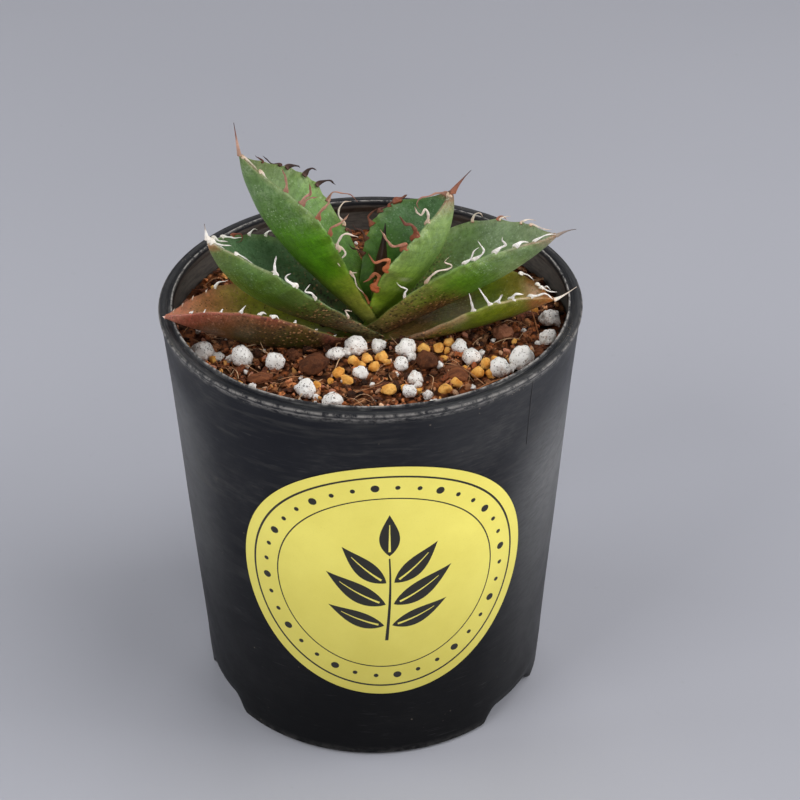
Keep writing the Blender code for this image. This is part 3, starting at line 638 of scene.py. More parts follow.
def build_soil():
    segs, rings = 330, 120
    edge = inner_radius(SOIL_LEVEL) - 0.00035
    verts, cols = [], []
    tones = [np.array(lin(c)) for c in SOIL_TONES]
    for i in range(rings + 1):
        r = edge * (1 - i / (rings + 1))
        for j in range(segs):
            a = math.tau * j / segs
            x, y = r * math.sin(a), -r * math.cos(a)
            d, cells = noise.voronoi(Vector((x * 520, y * 520, 1.7)))
            lump = 0.95 * MM * (0.50 - min(d[0], 1.0))
            d2, _ = noise.voronoi(Vector((x * 1200, y * 1200, 4.1)))
            lump += 0.34 * MM * (0.5 - min(d2[0], 1.0))
            lump += 0.45 * MM * noise.noise(Vector((x * 260, y * 260, 8.2)))
            h = soil_height(x, y) - 0.35 * MM + lump
            pick = noise.noise(cells[0] * 5.37) * 0.5 + 0.5
            # painted shade: each lump's tone darkens to about a third where the lumps meet, down in the hollows between
            # them
            tone = tones[int(pick * 7.99) % 8] * (0.30 + 0.85 * float(smoothstep(0.62, 0.22, d[0])))
            verts.append((x, y, h))
            cols.append(tone)
    # skirt down to the pot's floor
    base = len(verts)
    depth = [(SOIL_LEVEL - 0.006), 0.080, 0.050, 0.020, 0.0086, FLOOR_TOP + 0.0003]
    for zi, z in enumerate(depth):
        for j in range(segs):
            a = math.tau * j / segs
            r = inner_radius(z) - 0.00045 - (0.0016 if zi == len(depth) - 1 else 0.0)
            verts.append((r * math.sin(a), -r * math.cos(a), z))
            cols.append(tones[1])
    faces = []
    for i in range(rings):
        for j in range(segs):
            k = (j + 1) % segs
            faces.append((i * segs + j, i * segs + k, (i + 1) * segs + k, (i + 1) * segs + j))
    centre = len(verts)
    verts.append((0, 0, soil_height(0, 0)))
    cols.append(tones[2])
    for j in range(segs):
        faces.append((rings * segs + j, rings * segs + (j + 1) % segs, centre))
    for zi in range(len(depth)):
        up = 0 if zi == 0 else base + (zi - 1) * segs
        dn = base + zi * segs
        for j in range(segs):
            k = (j + 1) % segs
            faces.append((dn + j, dn + k, up + k, up + j))
    bottom = len(verts)
    verts.append((0, 0, depth[-1]))
    cols.append(tones[1])
    last = base + (len(depth) - 1) * segs
    for j in range(segs):
        faces.append((last + (j + 1) % segs, last + j, bottom))
    ob = make("soil_bed", verts, faces, [soil_look()], "soil", colours={"rgb": cols})
    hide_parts("soil_mix")
    return ob


def ico(level):
    bm = bmesh.new()
    bmesh.ops.create_icosphere(bm, subdivisions=level, radius=1.0)
    v = np.array([tuple(x.co) for x in bm.verts])
    f = [tuple(x.index for x in fc.verts) for fc in bm.faces]
    bm.free()
    return v, f


def spun(rng):
    """A random rotation matrix."""
    q = np.array([rng.gauss(0, 1) for _ in range(4)])
    q /= np.linalg.norm(q)
    w, x, y, z = q
    return np.array([[1 - 2 * (y * y + z * z), 2 * (x * y - z * w), 2 * (x * z + y * w)],
                     [2 * (x * y + z * w), 1 - 2 * (x * x + z * z), 2 * (y * z - x * w)],
                     [2 * (x * z - y * w), 2 * (y * z + x * w), 1 - 2 * (x * x + y * y)]])


class Heap:
    """Many small bodies gathered in one mesh."""

    def __init__(self):
        self.v, self.f, self.c, self.n = [], [], [], 0

    def add(self, v, f, colour):
        self.v.append(v)
        self.f += [tuple(i + self.n for i in fc) for fc in f]
        c = np.asarray(colour, float)
        self.c.append(np.tile(c, (len(v), 1)) if c.ndim == 1 else c)
        self.n += len(v)

    def build(self, name, mats, slot, **kw):
        return make(name, np.concatenate(self.v), self.f, mats, slot, colours={"rgb": np.concatenate(self.c)}, **kw)


def crumb(rng, base, radius, squash=(1, 1, 1), rough=0.45, freq=1.5):
    v, f = base
    s = np.array([rng.uniform(-9, 9) for _ in range(3)])
    k = 1 + rough * np.array([noise.noise(Vector(p * freq + s)) for p in v])
    w = v * k[:, None] * np.array(squash)
    return (w @ spun(rng).T) * radius


def scatter_spot(rng, r_max):
    while True:
        x, y = rng.uniform(-1, 1), rng.uniform(-1, 1)
        if x * x + y * y < 1:
            return x * r_max, y * r_max


def build_crumbs():
    rng = random.Random(41)
    small, mid = ico(2), ico(3)
    tones = [np.array(lin(c)) for c in SOIL_TONES]
    edge = inner_radius(SOIL_LEVEL) - 0.0006
    heap, coarse = Heap(), Heap()
    for i in range(1750):
        x, y = scatter_spot(rng, edge)
        if y > 0.012 and rng.random() < 0.25:
            continue
        radius = MM * rng.choice([0.35, 0.45, 0.55, 0.7, 0.9, 1.2]) * rng.uniform(0.8, 1.15)
        if math.hypot(x, y) + radius > edge:
            continue
        v = crumb(rng, small if radius < 0.95 * MM else mid, radius, (1, rng.uniform(0.7, 1), rng.uniform(0.55, 0.9)))
        z = soil_height(x, y) + radius * rng.uniform(-0.25, 0.45)
        tone = tones[min(7, int(abs(rng.gauss(3.1, 1.9))))] * (rng.uniform(0.25, 0.75) if rng.random() < 0.45 else rng.uniform(1.1, 2.0))
        (heap if radius < 0.95 * MM else coarse).add(v + np.array((x, y, z)), (small if radius < 0.95 * MM else mid)[1], tone)
    # mix heaped against the neck of the plant
    for cx, cy, sx, sy, top, count in ((8.5, -9.6, 4.2, 2.2, 2.6, 120), (-3.5, -9.4, 5.0, 1.8, 1.6, 70), (14.5, -10.4, 3.5, 1.6, 1.4, 50), (0.0, 9.0, 6.0, 2.5, 2.0, 60)):
        for i in range(count):
            gx, gy = rng.gauss(0, 0.5), rng.gauss(0, 0.5)
            x, y = (cx + sx * gx) * MM, (cy + sy * gy) * MM
            radius = MM * rng.choice([0.3, 0.4, 0.55, 0.75, 1.0]) * rng.uniform(0.8, 1.1)
            v = crumb(rng, small, radius, (1, rng.uniform(0.6, 1), rng.uniform(0.5, 0.9)))
            z = soil_height(x, y) + top * MM * math.exp(-gx * gx - gy * gy) * rng.uniform(0.1, 1.0)
            heap.add(v + np.array((x, y, z)), small[1], tones[min(7, int(abs(rng.gauss(3.1, 1.9))))] * (rng.uniform(0.3, 0.75) if rng.random() < 0.5 else rng.uniform(0.9, 1.5)))
    heap.build("soil_crumbs_fine", [crumb_look()], "soil", sharp=40)
    coarse.build("soil_crumbs_coarse", [crumb_look()], "soil", sharp=40)
    # flakes of bark and coir pith
    heap = Heap()
    tones = [lin(c) for c in ((138, 76, 46), (164, 98, 60), (112, 62, 40), (188, 124, 80), (84, 48, 32), (208, 152, 108))]
    for i in range(230):
        x, y = scatter_spot(rng, edge - 0.001)
        ln = MM * rng.uniform(0.8, 2.3)
        if math.hypot(x, y) + ln > edge:
            continue
        v, f = small if ln < 1.2 * MM else mid
        s = np.array([rng.uniform(-9, 9) for _ in range(3)])
        k = 1 + 0.4 * np.array([noise.noise(Vector(p * 1.7 + s)) for p in v])
        w = v * k[:, None] * np.array((1.0, rng.uniform(0.35, 0.6), rng.uniform(0.12, 0.3)))
        tilt = rng.gauss(0, 0.35)
        a = rng.uniform(0, math.tau)
        rz = np.array([[math.cos(a), -math.sin(a), 0], [math.sin(a), math.cos(a), 0], [0, 0, 1]])
        ry = np.array([[math.cos(tilt), 0, math.sin(tilt)], [0, 1, 0], [-math.sin(tilt), 0, math.cos(tilt)]])
        w = (w @ ry.T @ rz.T) * ln
        heap.add(w + np.array((x, y, soil_height(x, y) + 0.25 * MM + rng.uniform(0, 0.5) * MM)), f, np.array(rng.choice(tones)) * rng.uniform(0.8, 1.15))
    heap.build("bark_flakes", [crumb_look()], "bark", sharp=40)
    # splinters of fresh coir and broken clay
    heap = Heap()
    tones = [lin(c) for c in ((214, 152, 108), (196, 124, 82), (232, 186, 150), (184, 106, 64), (222, 160, 92), (206, 140, 112))]
    for i in range(820):
        if i < 560:
            x, y = scatter_spot(rng, edge - 0.001)
        else:       # along the front of the rim, where they gather
            a, rr = math.radians(rng.uniform(-170, -10)), edge - 0.001 - abs(rng.gauss(0, 0.004))
            x, y = rr * math.cos(a), rr * math.sin(a)
        ln = MM * rng.choice((0.3, 0.4, 0.5, 0.7, 0.9)) * rng.uniform(0.8, 1.15)
        if math.hypot(x, y) + ln > edge:
            continue
        v = crumb(rng, small, ln, (1.25, rng.uniform(0.45, 0.9), rng.uniform(0.35, 0.7)))
        heap.add(v + np.array((x, y, soil_height(x, y) + MM * rng.uniform(0.1, 0.75))), small[1], np.array(rng.choice(tones)) * rng.uniform(0.8, 1.3))
    heap.build("coir_splinters", [crumb_look("coir_fresh", 0.70)], "soil", sharp=40)


def tube(path, radii, sides=6, flat=1.0, normal=None, cap=True):
    """A closed tube along path. normal: direction in which it is thinned to flat."""
    p = np.asarray(path, float)
    n = len(p)
    t = np.gradient(p, axis=0)
    t /= np.linalg.norm(t, axis=1)[:, None] + 1e-12
    verts = []
    ref = np.array(normal if normal is not None else (0.31, 0.25, 0.92), float)
    ref /= np.linalg.norm(ref)
    prev = None
    for i in range(n):
        w = np.cross(t[i], ref)
        if np.linalg.norm(w) < 0.15 and prev is not None:
            w = prev
        w /= np.linalg.norm(w) + 1e-12
        if prev is not None and np.dot(w, prev) < 0:
            w = -w
        prev = w
        u = np.cross(w, t[i])
        for j in range(sides):
            a = math.tau * j / sides
            verts.append(p[i] + radii[i] * (math.cos(a) * w + flat * math.sin(a) * u))
    faces = grid_faces(n, sides)
    faces.append(tuple(reversed(range(sides))))
    faces.append(tuple((n - 1) * sides + j for j in range(sides)))
    return np.array(verts), faces


def curve(points, per=6):
    """Catmull-Rom through the points."""
    p = [np.array(q, float) for q in points]
    p = [2 * p[0] - p[1]] + p + [2 * p[-1] - p[-2]]
    out = []
    for i in range(1, len(p) - 2):
        for j in range(per):
            t = j / per
            a, b, c, d = p[i - 1], p[i], p[i + 1], p[i + 2]
            out.append(0.5 * ((2 * b) + (-a + c) * t + (2 * a - 5 * b + 4 * c - d) * t * t + (-a + 3 * b - 3 * c + d) * t ** 3))
    out.append(p[-2])
    return np.array(out)


def build_fibres():
    rng = random.Random(77)
    heap = Heap()
    edge = inner_radius(SOIL_LEVEL) - 0.0008
    tones = [lin(c) for c in ((176, 116, 74), (206, 152, 108), (142, 84, 52), (228, 190, 150), (112, 66, 44))]

    def strand(points, width, tone):
        path = curve(points, 5)
        n = len(path)
        radii = [width * (0.65 + 0.35 * math.sin(math.pi * i / (n - 1))) * (1 - 0.5 * (i / (n - 1)) ** 3) for i in range(n)]
        v, f = tube(path, radii, 5)
        heap.add(v, f, np.array(tone) * rng.uniform(0.85, 1.15))

    for i in range(430):
        x, y = scatter_spot(rng, edge - 0.002)
        a = rng.uniform(0, math.tau)
        ln = MM * rng.choice([2.5, 3.5, 5, 7, 10]) * rng.uniform(0.8, 1.2)
        pts, bend = [], rng.gauss(0, 0.35)
        px, py = x, y
        hop = rng.uniform(0.2, 1.5) * MM
        for s in range(5):
            rr = math.hypot(px, py)
            if rr > edge:
                px, py = px * edge / rr, py * edge / rr
            pts.append((px, py, soil_height(px, py) + 0.15 * MM + hop * math.sin(math.pi * s / 4) + rng.uniform(0, 0.3) * MM))
            a += bend
            px, py = px + ln / 4 * math.cos(a), py + ln / 4 * math.sin(a)
        strand(pts, MM * rng.choice((0.045, 0.06, 0.08, 0.10, 0.15)) * rng.uniform(0.85, 1.15), rng.choice(tones))
    # the long strands that lie on the mix
    for pts, w, tone in (
        (((17.6, -20.4, 0.9), (19.5, -21.6, 1.8), (23.0, -24.2, 1.9), (26.0, -26.9, 1.1), (28.4, -29.4, 0.4)), 0.13, 1),
        (((-3.4, -32.0, 0.8), (0.5, -30.4, 1.3), (4.0, -28.6, 1.2), (8.0, -26.5, 0.7)), 0.10, 0),
        (((-9.5, -29.8, 0.9), (-7.4, -32.6, 1.1), (-4.8, -34.6, 1.0), (-2.2, -36.6, 0.5)), 0.10, 0),
        (((-22.0, -26.0, 0.6), (-18.0, -25.2, 1.0), (-13.5, -26.6, 1.3), (-9.0, -29.6, 0.6)), 0.10, 1),
        (((24.0, -31.5, 0.6), (27.4, -29.6, 1.3), (31.5, -26.5, 1.2), (34.6, -24.5, 0.6)), 0.20, 0),
        (((-24.8, -14.0, 0.4), (-26.0, -15.0, 2.4), (-27.1, -14.6, 5.2)), 0.07, 3),
        (((8.0, -12.6, 0.2), (6.4, -11.2, 2.2), (4.6, -10.4, 4.3)), 0.08, 3),
        (((12.0, -12.0, 0.5), (9.0, -11.5, 2.0), (6.0, -12.4, 2.4)), 0.06, 3),
        (((14.0, -9.5, 0.5), (13.0, -10.8, 2.6), (13.2, -10.6, 5.5)), 0.06, 3),
        (((10.0, -14.0, 0.3), (7.5, -13.6, 1.6), (4.5, -14.2, 1.2)), 0.08, 1),
        (((-2.0, -14.0, 0.5), (0.0, -13.4, 1.9), (3.0, -13.9, 1.0)), 0.07, 3),
        (((41.6, -5.0, 0.5), (40.6, -3.2, 3.6), (39.4, -1.6, 7.2)), 0.20, 0),
        (((5.6, -34.5, 0.3), (6.0, -36.0, 1.6), (5.2, -37.5, 2.2)), 0.09, 3),
        (((-33.0, -24.0, 0.4), (-34.6, -22.4, 1.7), (-36.8, -21.2, 1.0)), 0.10, 1),
        (((14.2, -24.0, 0.6), (15.2, -27.0, 1.5), (14.6, -30.6, 0.6)), 0.08, 3),
        (((-14.8, -9.4, 0.3), (-14.0, -10.6, 2.6), (-12.9, -10.2, 4.6)), 0.06, 3),
    ):
        strand([(px * MM, py * MM, soil_height(px * MM, py * MM) + h * MM) for px, py, h in pts], w * MM, tones[tone])
    k = Look("coir_fibre", rough=0.7, spec=0.35)
    col = k.mix(k.span(k.noise(1300, 3), 0.35, 0.7, 0.0, 0.45), k.attr("rgb", "Color"), lin((92, 56, 36)))
    heap.build("coir_fibres", [k.finish(col, 0.7)], "soil")


# ============================================================== grains
def perlite_look():
    k = Look("perlite", rough=0.92, spec=0.3)
    pos = k.coords()
    pits = k.voronoi(1800, pos)
    pit_mask = k.math("MULTIPLY", k.span(pits, 0.30, 0.17), k.span(k.noise(420, 3, 0.6, pos), 0.34, 0.47))
    big_pits = k.voronoi(520, k.coords(shift=(0.7, 0.3, 0.1)))
    big_mask = k.math("MULTIPLY", k.span(big_pits, 0.17, 0.09), k.span(k.noise(180, 3, 0.6, k.coords(shift=(0.2, 0.1, 0.5))), 0.46, 0.58))
    grime = k.span(k.noise(230, 5, 0.68, k.coords(shift=(0.2, 0.8, 0.3))), 0.52, 0.68, 0.0, 0.75)
    shade = k.noise(520, 4, 0.6, pos)
    col = k.mix(k.span(shade, 0.3, 0.7), lin((246, 243, 239)), lin((255, 254, 252)))
    col = k.mix(k.math("MULTIPLY", grime, k.span(k.noise(1500, 3, 0.7, pos), 0.40, 0.60)), col, lin((172, 126, 92)))
    # darker and browner towards the bottom of each grain
    col = k.mix(k.math("MULTIPLY", k.attr("darker_low"), k.span(k.noise(900, 4, 0.7, pos), 0.35, 0.60)), col, lin((134, 84, 56)))
    col = k.mix(k.math("MULTIPLY", pit_mask, 0.80), col, lin((96, 70, 58)))
    col = k.mix(k.math("MULTIPLY", big_mask, 0.9), col, lin((48, 32, 26)))
    fine = k.noise(2400, 4, 0.7, pos)
    height = k.math("SUBTRACT", k.math("ADD", k.math("MULTIPLY", fine, 0.6), shade), k.math("MULTIPLY", k.math("ADD", pit_mask, big_mask), 1.1))
    return k.finish(col, 0.92, k.bump(height, 0.00032, 0.8))


def clay_look():
    k = Look("baked_clay", rough=0.85, spec=0.35)
    pos = k.coords()
    a = k.noise(420, 5, 0.65, pos)
    b = k.noise(2100, 3, 0.6, pos)
    col = k.mix(k.span(a, 0.3, 0.7), lin((216, 140, 50)), lin((252, 198, 108)))
    col = k.mix(k.span(b, 0.60, 0.74, 0.0, 0.6), col, lin((128, 74, 32)))
    col = k.mix(k.span(k.noise(200, 3, 0.6, k.coords(shift=(0.5, 0.2, 0.9))), 0.60, 0.72, 0.0, 0.6), col, lin((110, 66, 40)))
    return k.finish(col, 0.85, k.bump(k.math("ADD", a, k.math("MULTIPLY", b, 0.5)), 0.00030, 0.8))


def lump_look(name, dark, light, freckle):
    k = Look(name, rough=0.92, spec=0.25)
    pos = k.coords()
    a = k.noise(480, 6, 0.7, pos)
    b = k.noise(2600, 3, 0.6, pos)
    col = k.mix(k.span(a, 0.28, 0.72), lin(dark), lin(light))
    col = k.mix(k.span(b, 0.60, 0.74, 0.0, 0.6), col, lin(freckle))
    return k.finish(col, 0.92, k.bump(k.math("ADD", a, k.math("MULTIPLY", b, 0.6)), 0.0004, 0.9))


def bark_look():
    k = Look("bark_fibre", rough=0.85, spec=0.3)
    a = k.noise(260, 5, 0.65, k.coords(scale=(1, 5, 2)), distortion=0.6)
    b = k.noise(1800, 3, 0.6)
    col = k.mix(k.span(a, 0.3, 0.7), lin((84, 46, 30)), lin((146, 88, 54)))
    col = k.mix(k.span(b, 0.6, 0.75, 0.0, 0.5), col, lin((182, 130, 90)))
    return k.finish(col, 0.85, k.bump(a, 0.0004, 0.8))


def refine(node, name, mat, slot, levels, lumps, fine, seed, floats=False, spread=1.0, relax=0.5, facets=0.0):
    """A detailed body over a CAD grain: its mesh divided, with lumps, flats and grit."""
    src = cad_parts[node].data
    bm = bmesh.new()
    bm.from_mesh(src)
    bmesh.ops.remove_doubles(bm, verts=bm.verts, dist=1e-6)
    for _ in range(levels):
        bmesh.ops.subdivide_edges(bm, edges=bm.edges, cuts=1, use_grid_fill=True, smooth=0.0)
        bmesh.ops.smooth_vert(bm, verts=bm.verts, factor=relax, use_axis_x=True, use_axis_y=True, use_axis_z=True)
    bmesh.ops.triangulate(bm, faces=[f for f in bm.faces if len(f.verts) > 4])
    bmesh.ops.recalc_face_normals(bm, faces=bm.faces)
    bm.normal_update()
    co = np.array([tuple(v.co) for v in bm.verts])
    nn = np.array([tuple(v.normal) for v in bm.verts])
    faces = [tuple(v.index for v in f.verts) for f in bm.faces]
    bm.free()
    mid = (co.max(0) + co.min(0)) / 2
    lo, size = co[:, 2].min(), (co.max(0) - co.min(0))
    rng = random.Random(int(seed * 100))
    if facets:      # broken faces: everything beyond a few planes is pressed flat
        for _ in range(9):
            ax = np.array([rng.gauss(0, 1), rng.gauss(0, 1), abs(rng.gauss(0, 1)) * 0.9])
            ax /= np.linalg.norm(ax)
            h = (co - mid) @ ax
            cut = h.max() * rng.uniform(0.62, 0.86)
            over = np.maximum(h - cut, 0)
            co = co - ax[None, :] * (over * facets)[:, None]
    co = mid + (co - mid) * spread
    sc = 1.0 / max(1e-6, size.max())
    d = np.zeros(len(co))
    for i, p in enumerate(co):
        q = (p - mid) * sc
        dist, _ = noise.voronoi(Vector(q * 3.4 + seed))
        big = noise.noise(Vector(q * 2.6 + seed * 1.7))
        mid_size = noise.noise(Vector(q * 8.0 + seed * 0.7))
        pit = noise.noise(Vector(p * 1700 + seed))
        d[i] = lumps * (0.42 - min(dist[0], 0.85)) + 0.5 * lumps * big + 0.28 * lumps * mid_size + fine * min(pit, 0.15)
    co = co + nn * d[:, None]
    co[:, 2] = np.maximum(co[:, 2], lo - 0.0003)
    extra = None
    if floats:
        # darker and browner towards the bottom of each grain
        darker_low = np.clip(1.0 - (co[:, 2] - lo) * sc / 0.34, 0, 1)
        extra = {"darker_low": darker_low}
    ob = make(name, co, faces, [mat], slot, floats=extra)
    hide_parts(node)
    return ob


# Grains too small for the frame, millimetres: x, y, radius.
SMALL_CLAY = [(2.4, -16.3, 1.3), (-2.0, -19.9, 1.1), (-12.8, -28.8, 1.2), (19.4, -10.6, 1.4), (18.8, -13.2, 0.9), (17.9, -16.8, 0.9),
              (28.9, -23.9, 1.1), (30.3, -17.9, 1.1), (20.8, -27.7, 1.3), (42.8, -15.6, 1.2), (-6.2, -26.0, 1.0), (-1.0, -15.0, 0.9),
              (-3.0, -18.8, 1.0), (11.6, -30.4, 0.8), (22.8, -21.0, 0.7), (-38.2, -16.4, 1.0), (4.0, -18.0, 1.0), (13.9, -16.0, 0.8),
              (-9.4, -26.8, 0.8), (35.4, -9.0, 0.7), (-31.0, -27.4, 0.8), (8.2, -29.8, 1.1)]
SMALL_PERLITE = [(13.8, -32.4, 1.1), (15.2, -36.2, 1.3), (-28.1, -28.7, 0.9), (-34.4, -17.0, 1.0), (-36.9, -15.8, 1.3), (17.0, -20.6, 1.0),
                 (-5.6, -13.6, 1.3), (10.0, -16.6, 1.2), (11.4, -28.6, 1.1), (-7.6, -13.8, 1.2), (33.6, -21.6, 1.4), (41.2, -9.8, 0.8),
                 (-12.6, -33.2, 0.8), (27.0, -14.6, 0.9), (38.0, -3.4, 0.6), (-16.6, -24.8, 0.5), (30.2, -8.0, 0.6), (0.6, -28.0, 0.6),
                 (-20.6, -28.0, 0.5), (24.6, -29.0, 0.6), (33.8, -26.4, 0.6), (6.4, -23.6, 0.6), (1.2, -33.6, 0.6), (-30.0, -22.2, 0.6),
                 (-43.0, -3.0, 0.8), (-38.0, 9.0, 1.4), (-26.0, 26.0, 1.8), (8.0, 33.0, 2.0), (-9.0, 22.0, 1.6), (27.0, 21.0, 1.7), (38.0, 14.0, 1.2),
                 (17.0, 15.5, 1.4), (-20.0, 37.0, 1.2), (-33.0, 17.0, 1.0),]
BACK_CLAY = [(-18.0, 24.0, 1.5), (5.0, 21.0, 1.6), (20.0, 28.0, 1.4), (-30.0, 30.0, 1.5), (33.0, 26.0, 1.6), (-7.0, 34.0, 1.4), (12.0, 40.0, 1.5),
             (-40.0, 16.0, 1.3), (41.0, 6.0, 1.2), (-13.0, 42.0, 1.3), (26.0, 12.0, 1.3)]


def build_grains():
    perl, clay = perlite_look(), clay_look()
    crumbs = lump_look("crumb_dark", (66, 38, 25), (112, 66, 40), (152, 104, 70))
    pale = lump_look("crumb_pale", (112, 66, 46), (166, 112, 84), (206, 164, 132))
    bark = bark_look()
    names = sorted(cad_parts)
    for i, n in enumerate(names):
        seed = 0.37 * i + 1.3
        if n.startswith("perlite"):
            refine(n, n + "_grain", perl, "perlite", 2, 0.40 * MM, 0.14 * MM, seed, floats=True, spread=1.10, relax=0.5, facets=0.45)
        elif n.startswith("clay_grain"):
            refine(n, n + "_body", clay, "baked_clay", 2, 0.20 * MM, 0.08 * MM, seed, relax=0.45, facets=0.35)
        elif n.startswith("soil_crumb"):
            refine(n, n + "_body", pale if n.endswith("04") else crumbs, "soil", 2, 0.75 * MM, 0.26 * MM, seed, relax=0.3, facets=0.4)
        elif n.startswith("bark_chip"):
            refine(n, n + "_body", bark, "bark", 2, 0.38 * MM, 0.16 * MM, seed, relax=0.3)
    rng = random.Random(5)
    base = ico(3)
    heap = Heap()
    for x, y, r in SMALL_CLAY + BACK_CLAY:
        v = crumb(rng, base, r * MM, (1.1, 1.0, 0.9), 0.35, 1.3)
        heap.add(v + np.array((x * MM, y * MM, soil_height(x * MM, y * MM) + 0.55 * r * MM)), base[1], (1, 1, 1))
    heap.build("clay_small", [clay], "baked_clay")
    heap = Heap()
    lots = list(SMALL_PERLITE)
    edge = (inner_radius(SOIL_LEVEL) - 0.0012) / MM
    for _ in range(46):
        x, y = scatter_spot(rng, edge)
        lots.append((x, y, rng.uniform(0.22, 0.5)))
    for x, y, r in lots:
        v = crumb(rng, base, r * MM, (1.15, 1.0, 0.85), 0.5, 1.8)
        heap.add(v + np.array((x * MM, y * MM, soil_height(x * MM, y * MM) + (0.5 * r + 0.1) * MM)), base[1], (1, 1, 1))
    ob = heap.build("perlite_small", [perl], "perlite")
    a = ob.data.attributes.new("darker_low", "FLOAT", "POINT")
    a.data.foreach_set("value", np.full(len(ob.data.vertices), 0.12, np.float32))


# ============================================================== leaves
LEAVES = {
    "leaf_left_upper": dict(base=(-0.1, 1.5, 106.3), azimuth=(176, 3, 188), elevation=(49, -13, 80), length=55.0,
                            half_width=(4.5, 12.4), widest=0.55, point=1.61, channel=(0.62, 1.14), thick=2.5,
                            roll=(-2, 3, 0), start=0.05, spine=((-0.8, 0.5, 4.6), (-1.3, 0.8, 8.4))),
    "leaf_right_upper": dict(base=(0.8, 1.2, 105.5), azimuth=(8, -1, -3), elevation=(66, -23, 87), length=39.9,
                             half_width=(5.0, 11.2), widest=0.47, point=2.22, channel=(1.10, 0.83), thick=3.8,
                             roll=(0, 6, 3), start=0.05, squeeze=(0.75, 0.55), spine=((1.5, 0.4, 2.4), (4.7, 1.2, 5.4))),
    "leaf_right_middle": dict(base=(1.6, 0.0, 104.6), azimuth=(6, 1, -24), elevation=(32, -9, 45), length=52.3,
                              half_width=(5.0, 12.5), widest=0.45, point=1.97, channel=(0.76, 0.78), thick=3.4,
                              roll=(2, -3, 2), start=0.03, spine=((2.5, -0.4, 1.8), (4.8, -1.0, 2.2))),
    "leaf_left_middle": dict(base=(-1.6, -1.2, 104.4), azimuth=(191, 6, 202), elevation=(35, -22, 74), length=51.7,
                             half_width=(5.3, 11.8), widest=0.48, point=2.57, channel=(0.91, 0.71), thick=2.9,
                             roll=(-22, -2, 8), start=0.02, squeeze=(1.0, 0.45), spine=((-0.4, 0.2, 1.9), (-0.7, 0.3, 4.0))),
    "leaf_right_lower": dict(base=(5.3, -1.4, 103.2), azimuth=(-5, -4, 5), elevation=(14, 2, 11), length=41.1,
                             half_width=(5.1, 11.9), widest=0.48, point=2.43, channel=(0.27, 0.85), thick=2.4,
                             roll=(8, -4, -8), start=0.0, spine=((1.9, 0.3, 0.4), (5.7, 1.6, 2.6))),
    "leaf_left_lower": dict(base=(-6.0, -2.2, 103.1), azimuth=(196, 9, 177), elevation=(6, 7, 11), length=46.3,
                            half_width=(4.6, 11.3), widest=0.37, point=2.38, channel=(0.61, 0.94), thick=3.7,
                            roll=(-14, 8, 9), start=0.0, spine=((-0.3, 0.0, 0.0), (-0.7, 0.0, 0.1))),
}
TIP_HALF_WIDTH = 0.00050
HORN_FOOT = {"leaf_right_upper": 0.95, "leaf_left_middle": 0.75, "leaf_right_lower": 0.65, "leaf_left_upper": 0.62, "leaf_right_middle": 0.55, "leaf_left_lower": 0.5}   # mm

